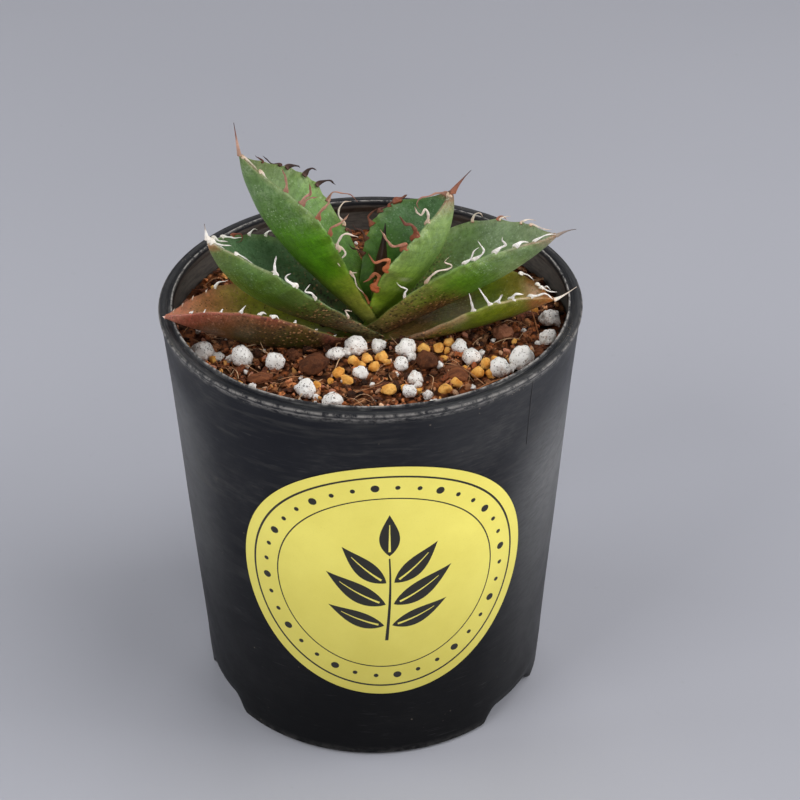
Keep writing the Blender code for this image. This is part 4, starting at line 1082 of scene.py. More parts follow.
# Tones along each leaf (share of the length: red, green, blue), on the hollow upper face and on the rounded back.
TONES = {
    "leaf_left_upper": dict(
        face=[(0, (132, 150, 60)), (0.25, (84, 134, 34)), (0.5, (112, 152, 72)), (0.75, (134, 160, 104)), (1, (140, 148, 100))],
        back=[(0, (176, 176, 92)), (0.14, (150, 156, 58)), (0.3, (88, 132, 10)), (0.5, (80, 126, 16)), (0.68, (82, 122, 42)), (0.85, (100, 132, 78)), (1, (98, 118, 62))],
        spine=[(0, (168, 132, 112)), (0.35, (190, 150, 132)), (0.7, (112, 72, 62)), (1, (58, 42, 44))]),
    "leaf_right_upper": dict(
        face=[(0, (72, 108, 22)), (0.3, (84, 132, 40)), (0.6, (98, 142, 86)), (0.88, (98, 140, 90)), (0.96, (136, 104, 74)), (1, (146, 92, 66))],
        back=[(0, (150, 166, 66)), (0.2, (130, 158, 44)), (0.4, (134, 164, 64)), (0.6, (130, 160, 80)), (0.85, (126, 150, 86)), (0.95, (134, 122, 80)), (1, (156, 98, 70))],
        spine=[(0, (156, 98, 72)), (0.4, (136, 84, 66)), (0.8, (98, 66, 58)), (1, (66, 46, 44))]),
    "leaf_right_middle": dict(
        face=[(0, (110, 130, 48)), (0.3, (112, 146, 64)), (0.5, (128, 160, 96)), (0.72, (142, 168, 120)), (0.92, (152, 168, 128)), (1, (176, 146, 118))],
        back=[(0, (128, 116, 66)), (0.12, (122, 100, 52)), (0.3, (94, 122, 24)), (0.5, (90, 132, 30)), (0.7, (94, 132, 48)), (0.88, (112, 140, 84)), (0.98, (150, 124, 92)), (1, (168, 126, 98))],
        spine=[(0, (160, 142, 128)), (0.5, (134, 122, 116)), (1, (92, 84, 82))]),
    "leaf_left_middle": dict(
        face=[(0, (66, 98, 42)), (0.4, (78, 118, 72)), (0.75, (94, 130, 92)), (1, (112, 126, 90))],
        back=[(0, (150, 148, 90)), (0.16, (108, 98, 64)), (0.32, (86, 92, 42)), (0.48, (68, 90, 22)), (0.66, (68, 96, 20)), (0.84, (78, 108, 28)), (0.93, (96, 104, 40)), (0.98, (184, 148, 122)), (1, (226, 216, 206))],
        spine=[(0, (232, 224, 214)), (0.5, (244, 240, 234)), (0.8, (160, 148, 142)), (1, (84, 74, 74))]),
    "leaf_right_lower": dict(
        face=[(0, (110, 108, 46)), (0.4, (94, 120, 20)), (0.62, (118, 136, 26)), (0.8, (156, 142, 46)), (0.9, (170, 118, 64)), (1, (176, 104, 54))],
        back=[(0, (122, 106, 50)), (0.2, (120, 124, 46)), (0.45, (108, 124, 30)), (0.65, (110, 128, 16)), (0.8, (118, 120, 22)), (0.9, (146, 88, 36)), (1, (160, 86, 44))],
        spine=[(0, (216, 192, 172)), (0.25, (240, 232, 222)), (1, (216, 200, 184))]),
    "leaf_left_lower": dict(
        # partly painted light: the face tones from about 0.68 of the length to the tip are brightened beyond the leaf's
        # own colour to offset the shade that the leaf above casts there
        face=[(0, (100, 110, 26)), (0.3, (120, 130, 30)), (0.5, (158, 172, 48)), (0.68, (212, 198, 92)), (0.80, (230, 174, 106)), (0.92, (236, 156, 120)), (1, (220, 140, 116))],
        back=[(0, (110, 62, 50)), (0.15, (96, 58, 34)), (0.32, (78, 70, 14)), (0.55, (94, 76, 24)), (0.72, (120, 74, 42)), (0.86, (146, 78, 58)), (1, (186, 116, 100))],
        spine=[(0, (214, 168, 152)), (1, (232, 214, 202))]),
}

# Teeth and strips of horn on the margins: leaf, margin (1 faces the front, -1 the back), share of the length, width (mm), horn,
# and how it curls, as steps to the right and up from its root (mm).
A, B, C, D, L_E, L_F = "leaf_left_upper", "leaf_right_upper", "leaf_right_middle", "leaf_right_lower", "leaf_left_middle", "leaf_left_lower"
TEETH = [
    (A, 1, 0.995, 0.9, "cream", [(0.0, 0.0), (2.0, -2.1), (3.7, -4.7)]),
    (A, 1, 0.925, 1.2, "cream", [(0.0, 0.0), (0.7, -1.0), (1.7, -2.9)]),
    (A, 1, 0.819, 1.4, "rose", [(0.0, 0.0), (0.3, 2.3), (0.0, 4.7), (-0.7, 6.7)]),
    (A, 1, 0.738, 1.8, "rose", [(0.0, 0.0), (0.8, 2.0), (2.1, 3.1), (2.1, 4.9), (2.1, 6.5)]),
    (A, 1, 0.733, 1.0, "rose", [(0.2, 0.5), (1.6, 1.8), (3.8, 2.5)]),
    (A, 1, 0.640, 1.6, "clay", [(0.0, 0.0), (0.5, 2.0), (2.1, 3.9), (2.8, 5.2), (3.1, 6.9)]),
    (A, 1, 0.539, 1.3, "clay", [(0.0, 0.0), (0.3, 2.0), (2.3, 3.1), (3.7, 4.6), (4.6, 6.3)]),
    (A, 1, 0.442, 1.3, "cream", [(0.0, 0.0), (-0.2, 1.7), (1.1, 4.6), (2.7, 5.0), (4.8, 3.7)]),
    (A, 1, 0.459, 1.0, "cream", [(0.0, 0.0), (1.4, -0.9), (1.9, -2.6), (0.5, -4.4), (0.2, -5.4), (1.2, -7.0), (2.9, -8.5)]),
    (A, 1, 0.293, 0.8, "cream", [(0.0, 0.0), (0.9, -1.7), (1.3, -4.3), (2.2, -5.9), (3.0, -6.9)]),
    (A, 1, 0.279, 0.6, "cream", [(0.0, 0.0), (0.2, 0.9), (1.2, 1.1)]),
    (A, -1, 0.904, 0.6, "bark", [(0.0, 0.0), (-1.1, 0.8), (-1.7, 1.6)]),
    (A, -1, 0.813, 0.9, "dark", [(0.0, 0.0), (-1.9, 0.2), (-3.0, 1.0), (-4.2, 1.9)]),
    (A, -1, 0.765, 1.4, "dark", [(0.0, 0.0), (1.4, 0.3), (2.3, 0.1), (2.9, -0.5)]),
    (A, -1, 0.653, 1.5, "dark", [(0.0, 0.0), (0.8, 0.9), (1.8, 1.2), (2.8, 0.5)]),
    (A, -1, 0.555, 1.3, "dark", [(0.0, 0.0), (1.5, 0.6), (3.1, 0.8), (4.2, -0.5)]),
    (A, -1, 0.465, 0.8, "rose", [(0.0, 0.0), (1.3, 1.6), (3.7, 1.2), (5.8, 0.6), (7.2, -1.1)]),
    (A, -1, 0.332, 1.0, "cream", [(0.0, 0.0), (-1.2, 1.9), (-1.0, 3.7), (0.2, 5.0), (1.9, 5.4)]),
    (A, -1, 0.300, 0.9, "bark", [(0.0, 0.0), (1.0, -1.2), (0.7, -2.8), (2.1, -3.9)]),
    (B, -1, 0.330, 1.1, "bark", [(0.0, 0.0), (-0.9, 1.6), (-2.4, 2.2), (-3.3, 3.6)]),
    (B, -1, 0.250, 1.0, "bark", [(0.0, 0.0), (-1.2, 0.9), (-2.4, 1.0), (-3.2, 2.0)]),
    (B, -1, 0.420, 1.2, "rust", [(0.0, 0.0), (-0.6, 1.3), (0.4, 2.6), (1.6, 3.6)]),
    (B, -1, 0.526, 1.1, "bark", [(0.0, 0.0), (1.3, 0.7), (2.5, 1.2)]),
    (B, -1, 0.605, 0.7, "rust", [(0.0, 0.0), (0.7, 0.6), (1.4, 0.9)]),
    (B, -1, 0.672, 1.7, "rust", [(0.0, 0.0), (1.3, 0.6), (2.4, 1.5)]),
    (B, -1, 0.963, 1.0, "rose", [(0.0, 0.0), (-1.9, 0.0), (-3.7, -0.7), (-5.6, -1.0), (-6.6, -2.0), (-6.5, -3.1), (-5.7, -3.9)]),
    (B, 1, 0.985, 1.1, "cream", [(0.0, 0.0), (-0.5, -2.0), (-1.3, -5.6), (-1.9, -7.2)]),
    (B, 1, 0.845, 1.3, "cream", [(0.0, 0.0), (0.2, 2.3), (-0.5, 4.1), (-1.5, 2.3), (-2.5, 3.3), (-3.1, 5.3)]),
    (B, 1, 0.747, 2.0, "rust", [(0.0, 0.0), (0.1, 2.1), (-0.9, 3.7), (-2.3, 3.9), (-3.1, 5.2), (-3.8, 6.7)]),
    (B, 1, 0.650, 1.6, "clay", [(0.0, 0.0), (0.5, 1.4), (-1.0, 1.0), (-2.7, 0.7), (-4.0, 2.3), (-5.0, 4.5), (-5.6, 5.9)]),
    (B, 1, 0.469, 1.7, "orange", [(0.0, 0.0), (0.5, 2.2), (-1.2, 2.3), (-2.9, 1.8), (-4.4, 4.3)]),
    (B, 1, 0.290, 2.2, "orange", [(0.0, 0.0), (0.8, 2.6), (-0.3, 3.8), (-1.7, 2.1), (-3.1, 1.4)]),
    (B, 1, 0.120, 1.3, "orange", [(0.0, 0.0), (-0.8, 3.0), (-2.0, 4.7)]),
    (C, 1, 0.388, 1.0, "cream", [(0.0, 0.0), (1.5, 2.3), (3.2, 3.6), (5.2, 4.2), (6.0, 5.5), (4.4, 6.7), (5.4, 8.2)]),
    (C, 1, 0.239, 0.9, "white", [(0.0, 0.0), (0.1, 1.3), (0.6, 2.3), (-1.0, 3.3), (-1.9, 4.8)]),
    (C, 1, 0.616, 1.0, "white", [(0.0, 0.0), (1.5, 1.4), (2.4, 4.0), (3.5, 4.9)]),
    (C, 1, 0.668, 1.1, "white", [(0.0, 0.0), (1.4, 1.1), (2.3, 2.6), (1.7, 4.2), (0.7, 5.7)]),
    (C, 1, 0.769, 1.4, "white", [(0.0, 0.0), (1.3, 1.3), (2.6, 2.4), (1.7, 4.0), (1.6, 5.2)]),
    (C, 1, 0.859, 1.6, "white", [(0.0, 0.0), (1.2, 1.1), (3.0, 1.4)]),
    (C, 1, 0.929, 0.9, "white", [(0.0, 0.0), (1.6, 1.3), (3.3, 2.1), (5.1, 1.8)]),
    (C, -1, 0.576, 0.8, "cream", [(0.0, 0.0), (0.6, 1.3), (1.7, 1.7), (2.5, 0.6)]),
    (C, -1, 0.704, 0.9, "clay", [(0.0, 0.0), (1.1, 0.4), (2.1, -0.3)]),
    (C, -1, 0.713, 0.5, "cream", [(0.0, 0.0), (1.3, 0.4), (2.5, 0.8)]),
    (C, -1, 0.821, 0.7, "cream", [(0.0, 0.0), (1.4, 0.5), (3.5, 0.2)]),
    (C, -1, 0.871, 0.8, "cream", [(0.0, 0.0), (1.8, -0.6), (3.5, -1.3), (4.9, -1.4)]),
    (D, 1, 0.563, 1.2, "white", [(0.0, 0.0), (-0.5, 2.6), (-1.1, 5.4)]),
    (D, 1, 0.655, 1.2, "white", [(0.0, 0.0), (-1.1, 2.1), (-2.7, 5.0)]),
    (D, 1, 0.700, 1.3, "white", [(0.0, 0.0), (0.6, 1.3), (1.0, 2.5)]),
    (D, 1, 0.776, 1.4, "white", [(0.0, 0.0), (0.8, 1.5), (2.7, 1.4)]),
    (D, 1, 0.876, 1.1, "white", [(0.0, 0.0), (1.8, 0.3), (3.4, 0.9), (5.4, -0.7)]),
    (D, -1, 0.837, 0.8, "white", [(0.0, 0.0), (1.8, -0.5), (3.2, -2.1)]),
    (D, -1, 0.926, 0.8, "white", [(0.0, 0.0), (1.3, -0.9), (2.2, -0.5), (3.3, -1.3)]),
    (D, -1, 0.945, 0.8, "white", [(0.0, 0.0), (1.9, -0.9), (3.9, -1.2)]),
    (L_E, 1, 0.995, 1.1, "white", [(0.0, 0.0), (1.0, -0.8), (2.4, -1.6), (4.7, -1.9)]),
    (L_E, 1, 0.985, 1.2, "white", [(0.0, 0.0), (1.4, -1.6), (3.2, -3.2), (5.4, -5.8)]),
    (L_E, 1, 0.901, 0.8, "white", [(0.0, 0.0), (1.6, -1.3), (3.9, -3.5)]),
    (L_E, 1, 0.726, 1.4, "white", [(0.0, 0.0), (-0.1, 2.5), (0.4, 5.8)]),
    (L_E, 1, 0.609, 1.3, "white", [(0.0, 0.0), (-1.5, 1.2), (-2.0, 2.5), (-0.8, 4.0)]),
    (L_E, 1, 0.473, 1.0, "white", [(0.0, 0.0), (-0.7, 1.4), (-2.2, 1.9), (-1.0, 3.7)]),
    (L_E, 1, 0.227, 0.8, "cream", [(0.0, 0.0), (-0.5, 1.8), (1.0, 1.9)]),
    (L_E, -1, 0.881, 0.8, "white", [(0.0, 0.0), (1.6, -0.2), (2.7, -0.6), (4.3, -0.2)]),
    (L_E, -1, 0.704, 0.7, "white", [(0.0, 0.0), (0.9, 0.8), (1.7, 0.4)]),
    (L_E, -1, 0.602, 0.7, "white", [(0.0, 0.0), (0.8, 0.7), (1.6, 0.7)]),
    (L_E, -1, 0.810, 0.8, "rust", [(0.0, 0.0), (1.7, 0.1), (1.9, -1.4), (0.6, -1.9)]),
    (L_E, -1, 0.946, 0.9, "white", [(0.0, 0.0), (1.2, -0.8), (3.1, -1.0)]),
    (L_F, 1, 0.878, 1.0, "white", [(0.0, 0.0), (0.2, 0.3), (0.45, 0.5)]),
    (L_F, 1, 0.822, 0.7, "white", [(0.0, 0.0), (0.1, 0.25), (0.35, 0.45)]),
    (L_F, 1, 0.750, 0.9, "white", [(0.0, 0.0), (0.1, 0.25), (0.35, 0.45)]),
    (L_F, 1, 0.665, 1.0, "white", [(0.0, 0.0), (0.5, 1.2), (1.2, 2.0)]),
    (L_F, 1, 0.577, 1.0, "white", [(0.0, 0.0), (0.7, 0.4), (1.5, 0.1)]),
    (L_F, 1, 0.518, 1.1, "white", [(0.0, 0.0), (0.7, 0.0), (1.5, -0.7)]),
    (L_F, 1, 0.398, 1.0, "white", [(0.0, 0.0), (0.1, 0.25), (0.35, 0.45)]),
    (L_F, 1, 0.271, 0.7, "white", [(0.0, 0.0), (0.1, 0.25), (0.35, 0.45)]),
    (L_F, 1, 0.140, 0.6, "white", [(0.0, 0.0), (0.1, 0.25), (0.35, 0.45)]),
    (L_F, -1, 0.740, 0.8, "white", [(0.0, 0.0), (1.0, 1.0), (3.1, 1.5)]),
    (L_F, -1, 0.608, 0.45, "cream", [(0.0, 0.0), (0.1, 0.15), (0.2, 0.3)]),
    (L_F, -1, 0.794, 0.5, "cream", [(0.0, 0.0), (0.1, 0.15), (0.2, 0.3)]),
    (L_F, -1, 0.870, 0.5, "cream", [(0.0, 0.0), (0.1, 0.15), (0.2, 0.3)]),
    (L_F, -1, 0.921, 0.45, "cream", [(0.0, 0.0), (0.1, 0.15), (0.2, 0.3)]),
    (L_F, -1, 0.963, 0.45, "cream", [(0.0, 0.0), (0.1, 0.15), (0.2, 0.3)]),
]
HORN = {  # root, middle, end
    "white": ((232, 226, 214), (252, 250, 247), (240, 236, 230)),
    "cream": ((190, 158, 128), (244, 232, 218), (222, 198, 180)),
    "rose": ((150, 104, 84), (188, 142, 124), (142, 92, 80)),
    "clay": ((166, 96, 66), (166, 114, 92), (196, 158, 136)),
    "rust": ((144, 78, 52), (126, 72, 54), (106, 66, 54)),
    "orange": ((184, 98, 56), (188, 114, 74), (140, 84, 60)),
    "bark": ((110, 66, 46), (88, 52, 42), (70, 46, 42)),
    "dark": ((84, 52, 42), (62, 42, 40), (50, 36, 38)),
}


def bend(a, m, b, t):
    return a + (b - a) * t + 4.0 * m * t * (1.0 - t)


def leaf_track(leaf):
    fine = 240
    p = np.array(leaf["base"]) * MM
    step = leaf["length"] * MM / fine
    last, rows = None, []
    for i in range(fine + 1):
        t = i / fine
        az, el = math.radians(bend(*leaf["azimuth"], t)), math.radians(bend(*leaf["elevation"], t))
        d = np.array((math.cos(el) * math.cos(az), math.cos(el) * math.sin(az), math.sin(el)))
        if last is not None:
            p = p + (last + d) * 0.5 * step
        last = d
        side = np.array((-math.sin(az), math.cos(az), 0.0))
        face = np.cross(d, side)
        roll = math.radians(bend(*leaf["roll"], t))
        rows.append((p.copy(), d, side * math.cos(roll) + face * math.sin(roll), face * math.cos(roll) - side * math.sin(roll)))
    return [np.array([r[k] for r in rows]) for k in range(4)]


def leaf_section(leaf, track, t, foot=TIP_HALF_WIDTH):
    """Midrib point, directions, half widths on both sides, depth and channel at a share of the length."""
    f = min(int(t * 240), 239)
    k = t * 240 - f
    p, d, s, n = [a[f] * (1 - k) + a[f + 1] * k for a in track]
    if t < leaf["widest"]:
        w = leaf["half_width"][0] + (leaf["half_width"][1] - leaf["half_width"][0]) * math.sin(math.pi / 2 * t / leaf["widest"])
    else:
        w = leaf["half_width"][1] * (1.0 - ((t - leaf["widest"]) / (1.0 - leaf["widest"])) ** leaf["point"])
    w = math.hypot(max(w, 0.0) * MM, TIP_HALF_WIDTH + (foot - TIP_HALF_WIDTH) * float(smoothstep(0.85, 1.0, t)))
    depth = leaf["thick"] * MM * (1.0 - t ** 2.5) + 0.0004
    chan = leaf["channel"][0] + (leaf["channel"][1] - leaf["channel"][0]) * t
    back = 0.5 - 0.5 * math.cos(math.pi * min(1.0, t / 0.55))
    share = [q + (1.0 - q) * back for q in leaf.get("squeeze", (1.0, 1.0))]
    return p, d, s, n, w * share[0], w * share[1], depth, chan


def front_sign(name):
    """Which side of the leaf, +1 or -1, faces the front."""
    return 1 if name.startswith("leaf_left") else -1


def tone_at(stops, t):
    for (a, ca), (b, cb) in zip(stops, stops[1:]):
        if t <= b:
            k = (t - a) / (b - a)
            k = k * k * (3 - 2 * k)
            return np.array(ca, float) * (1 - k) + np.array(cb, float) * k
    return np.array(stops[-1][1], float)


def build_leaf(name, leaf_mat, horn_mat):
    leaf = LEAVES[name]
    tones = TONES[name]
    track = leaf_track(leaf)
    fs = front_sign(name)
    teeth = [t for t in TEETH if t[0] == name]
    stations, half_n = 210, 42
    rows, cols, horn, uvw, back_side = [], [], [], [], []
    seed = 11.0 + 3.0 * sorted(LEAVES).index(name)
    start = leaf["start"] - NECK.get(name, 0.0)
    ts = [start + (1 - start) * (1 - (1 - i / stations) ** 1.18) for i in range(stations + 1)]
    for t in ts:
        p, d, s, n, wp, wn, depth, chan = leaf_section(leaf, track, max(t, 0.0), HORN_FOOT[name] * MM)
        if t < 0:       # the clasping foot of the leaf, tucked under its neighbours
            p = p + d * t * leaf["length"] * MM
            wp, wn = wp * (1 + 1.2 * t), wn * (1 + 1.2 * t)
        edge = min(0.00055, depth * 0.6)
        # the margin runs in shallow bays from teat to teat
        swell = {1: 0.0, -1: 0.0}
        for _, side, tt, width, _, pts in teeth:
            if tt < 0.97:
                g = math.exp(-(abs(t - tt) * leaf["length"] / (0.9 + 0.9 * width)) ** 1.5)
                swell[side * fs] = max(swell[side * fs], g * min(1.0, 0.62 * width))
        ring, rcol, rhorn, ruv, rgr = [], [], [], [], []

        def point(c):
            half = wp if c > 0 else wn
            sgn = 1 if c > 0 else -1
            sw = (swell[sgn] - 0.18) * MM * smoothstep(0.70, 1.0, abs(c)) * smoothstep(1.0, 0.93, t)
            lift = 0.10 * MM * math.sin(t * 41 + sgn * 1.3 + seed) * smoothstep(0.8, 1.0, abs(c))
            q = p + s * (half * c + sw * sgn) + n * (chan * half * c * c + 0.5 * sw + lift)
            return q, half

        # upper face from +1 to -1
        for k in range(half_n + 1):
            u = 1 - 2 * k / half_n
            c = math.sin(u * math.pi / 2) * 0.985
            q, half = point(c)
            wave = 0.20 * MM * noise.noise(Vector((t * 9, c * 1.6, seed))) * (1 - abs(c)) ** 0.5
            wave += 0.07 * MM * noise.noise(Vector((t * 2.5, c * 11, seed + 4)))
            q = q + n * wave
            ring.append(q)
            ruv.append((t * leaf["length"], c * half / MM, 0.0))
            rcol.append(tone_at(tones["face"], t))
            rhorn.append(c * fs)
            rgr.append(0.0)
        # margin and back from -1 to +1
        for k in range(half_n + 1):
            u = -1 + 2 * k / half_n
            c = math.sin(u * math.pi / 2)
            half = wp if c > 0 else wn
            inset = 0.0 if abs(c) < 0.9995 else 1.0
            belly = edge + (depth - edge) * math.sqrt(max(0.0, 1.0 - c * c))
            q, half = point(c * (1.0 - 0.012 * inset))
            q = q - n * (belly * (1.0 if not inset else 0.75))
            wave = 0.15 * MM * noise.noise(Vector((t * 8, c * 2.0, seed + 9))) * (1 - abs(c)) ** 0.5
            wave += 0.05 * MM * noise.noise(Vector((t * 3, c * 13, seed + 14)))
            q = q + n * wave
            ring.append(q)
            ruv.append((t * leaf["length"], c * half / MM, 1.0))
            rcol.append(tone_at(tones["back"], t))
            rhorn.append(c * fs)
            rgr.append(1.0)
        rows.append(ring)
        cols.append(rcol)
        horn.append(rhorn)
        uvw.append(ruv)
        back_side.append(rgr)
    n_ring = len(rows[0])
    # terminal spine: a stout foot that runs out to a needle
    p, d, s, n = [a[-1] for a in track]
    mid, end = np.array(leaf["spine"][0]) * MM, np.array(leaf["spine"][1]) * MM
    steps = 30
    for i in range(1, steps + 1):
        t = i / steps
        c = p + mid * 2 * t * (1 - t) + end * t * t
        fwd = mid * (2 - 4 * t) + end * 2 * t
        fwd /= np.linalg.norm(fwd)
        sd = s - fwd * s.dot(fwd)
        sd /= np.linalg.norm(sd)
        up = np.cross(sd, fwd)
        if up.dot(n) < 0:
            up = -up
        r = HORN_FOOT[name] * MM * (0.88 * (1 - t) ** 1.7) + 0.00007
        ring = []
        for k in range(n_ring):
            a = math.pi * k / half_n if k <= half_n else math.pi + math.pi * (k - half_n - 1) / half_n
            a += 0.03 if k in (0, half_n + 1) else (-0.03 if k in (half_n, n_ring - 1) else 0.0)
            groove = 1 - 0.25 * math.exp(-((a - math.pi / 2) / 0.5) ** 2) * (1 - t)
            ring.append(c + sd * r * math.cos(a) + up * r * groove * math.sin(a) - n * 0.0002 * (1 - t))
        rows.append(ring)
        cols.append([tone_at(tones["spine"], t)] * n_ring)
        horn.append([2.0] * n_ring)
        uvw.append([(leaf["length"] + 9 * t, 0.4 * math.cos(k), 2.0) for k in range(n_ring)])
        back_side.append([0.0] * n_ring)
    verts = np.array(rows).reshape(-1, 3)
    rgb = np.array(cols, float).reshape(-1, 3)
    nrows = len(rows)
    faces = grid_faces(nrows, n_ring)
    faces.append(tuple(reversed(range(n_ring))))
    faces.append(tuple((nrows - 1) * n_ring + j for j in range(n_ring)))
    n_leaf = len(faces)
    v_leaf = len(verts)
    tt = np.repeat(np.array(ts + [1.0] * steps), n_ring)
    hs = np.array(horn).reshape(-1)         # -1 rear margin .. +1 front margin, 2 on the spine
    gg = np.array(back_side).reshape(-1)
    on_leaf = (hs < 1.5).astype(float)
    hh = np.abs(hs)
    lo = np.array([noise.noise(Vector(v) * 130 + Vector((seed, 0, 0))) for v in verts])
    hi = np.array([noise.noise(Vector(v) * 520 + Vector((0, seed, 0))) for v in verts])
    rgb = rgb * (1 + 0.13 * lo + 0.07 * hi)[:, None]

    def wash(mask, tone, amount):
        nonlocal rgb
        m = (np.clip(mask, 0, 1) * amount)[:, None]
        rgb = rgb * (1 - m) + np.array(tone, float) * m

    # paler line just inside the margins, and a fine brown line on them towards the tip
    wash(smoothstep(0.88, 0.97, hh) * on_leaf * smoothstep(0.15, 0.4, tt), MARGIN[name][0], 0.40)
    wash(smoothstep(0.975, 0.999, hh) * on_leaf * smoothstep(MARGIN[name][2], MARGIN[name][2] + 0.15, tt), MARGIN[name][1], 0.8)
    for lane, side_of, t0, t1, h0, h1, tone, amount in WASHES.get(name, ()):
        m = smoothstep(t0 - lane, t0 + lane, tt) * smoothstep(t1 + lane, t1 - lane, tt)
        m = m * smoothstep(h0 - 0.12, h0 + 0.12, hs) * smoothstep(h1 + 0.12, h1 - 0.12, hs) * on_leaf
        m = m * (gg if side_of == "back" else (1 - gg) if side_of == "face" else 1.0)
        wash(m * (0.75 + 0.9 * lo), tone, amount)
    rgb = np.clip(rgb, 3, 250) / 255.0
    rgb = np.where(rgb <= 0.04045, rgb / 12.92, ((rgb + 0.055) / 1.055) ** 2.4)
    amount, reach, front_bias = SOILING[name]
    dirt = amount * smoothstep(reach, reach * 0.40, tt) * np.where(gg > 0.5, 1.0, 0.30)
    dirt = dirt * (1 - front_bias * smoothstep(0.35, 0.95, hs) * on_leaf)
    bloom = np.where(gg > 0.5, smoothstep(0.40, 0.88, tt), 1.25 * smoothstep(0.18, 0.70, tt)) * on_leaf
    tv, tf, tc, base_index = [], [], [], v_leaf
    rng = random.Random(int(seed * 10))
    for _, side, t, width, horn_kind, pts in teeth:
        p, d, s, n, wp, wn, depth, chan = leaf_section(leaf, track, t)
        sg = side * fs
        half = wp if sg > 0 else wn
        sw = 0.55 * min(1.0, 0.62 * width) * MM * (1.0 if t < 0.97 else 0.0)
        root = p + s * (half + sw * 0.6) * sg + n * (chan * half + 0.3 * sw)
        lean = -0.25 if side > 0 else 0.25
        out = s * sg
        path = [root + np.array((dx, lean * dz, dz)) * MM for dx, dz in pts]
        first = path[1] - path[0]
        first /= np.linalg.norm(first) + 1e-12
        start_at = root - out * 0.45 * MM - n * 0.35 * MM - first * 0.35 * MM
        line = curve([start_at] + path, 8)
        m = len(line)
        arc = np.concatenate([[0], np.cumsum(np.linalg.norm(np.diff(line, axis=0), axis=1))])
        full = arc[-1] / MM
        arc /= arc[-1]
        line[:, 1] += 0.40 * MM * np.sin(math.pi * arc * rng.uniform(1.0, 2.2)) * rng.choice((-1, 1)) * arc
        line = line + np.array([noise.noise_vector(Vector(q) * 900 + Vector((seed, t * 9, 0))) for q in line]) * (0.16 * MM) * arc[:, None]
        flare = min(0.45, 1.3 / max(full, 0.5))
        radii = []
        for x in arc:
            foot = math.exp(-(x / flare) ** 2)
            r = 0.5 * width * MM * (0.56 + 0.80 * foot) * (1 - 0.55 * x)
            r *= 1 + 0.20 * math.sin(x * full * 2.1 + seed)
            r *= 1 - float(smoothstep(0.80, 1.0, x)) * 0.75
            radii.append(max(float(r), 0.045 * MM))
        nv = np.array((0.25 * rng.uniform(-1, 1), 1.0, -0.45))
        v, f = tube(line, radii, 9, flat=0.40, normal=nv)
        c0, c1, c2 = [np.array(lin(c)) for c in HORN[horn_kind]]
        cc = []
        for x in arc:
            q = c0 + (c1 - c0) * (x / 0.35) if x < 0.35 else c1 + (c2 - c1) * ((x - 0.35) / 0.65)
            cc += [q * rng.uniform(0.90, 1.06)] * 9
        tv.append(v)
        tf += [tuple(i + base_index for i in fc) for fc in f]
        tc += cc
        base_index += len(v)
    tvs = np.concatenate(tv)
    verts = np.concatenate([verts, tvs])
    rgb = np.concatenate([rgb, np.array(tc)])
    faces = faces + tf
    extra = np.zeros(len(tvs))
    dirt, bloom, gg = np.concatenate([dirt, extra]), np.concatenate([bloom, extra]), np.concatenate([gg, extra])
    uvw = np.concatenate([np.array(uvw, float).reshape(-1, 3), tvs * 1000])
    mats = [0] * n_leaf + [1] * len(tf)
    for i in range(stations * n_ring, n_leaf):      # the spine is horn as well
        mats[i] = 1
    mats[n_leaf - 2] = 0
    ob = make(name + "_blade", verts, faces, [leaf_mat, horn_mat], "leaf_red" if name == "leaf_left_lower" else "leaf_green", face_mats=mats,
              floats={"dirt": dirt, "bloom": bloom, "rear": gg}, colours={"rgb": rgb}, vectors={"along": uvw})
    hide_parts(name)
    return ob


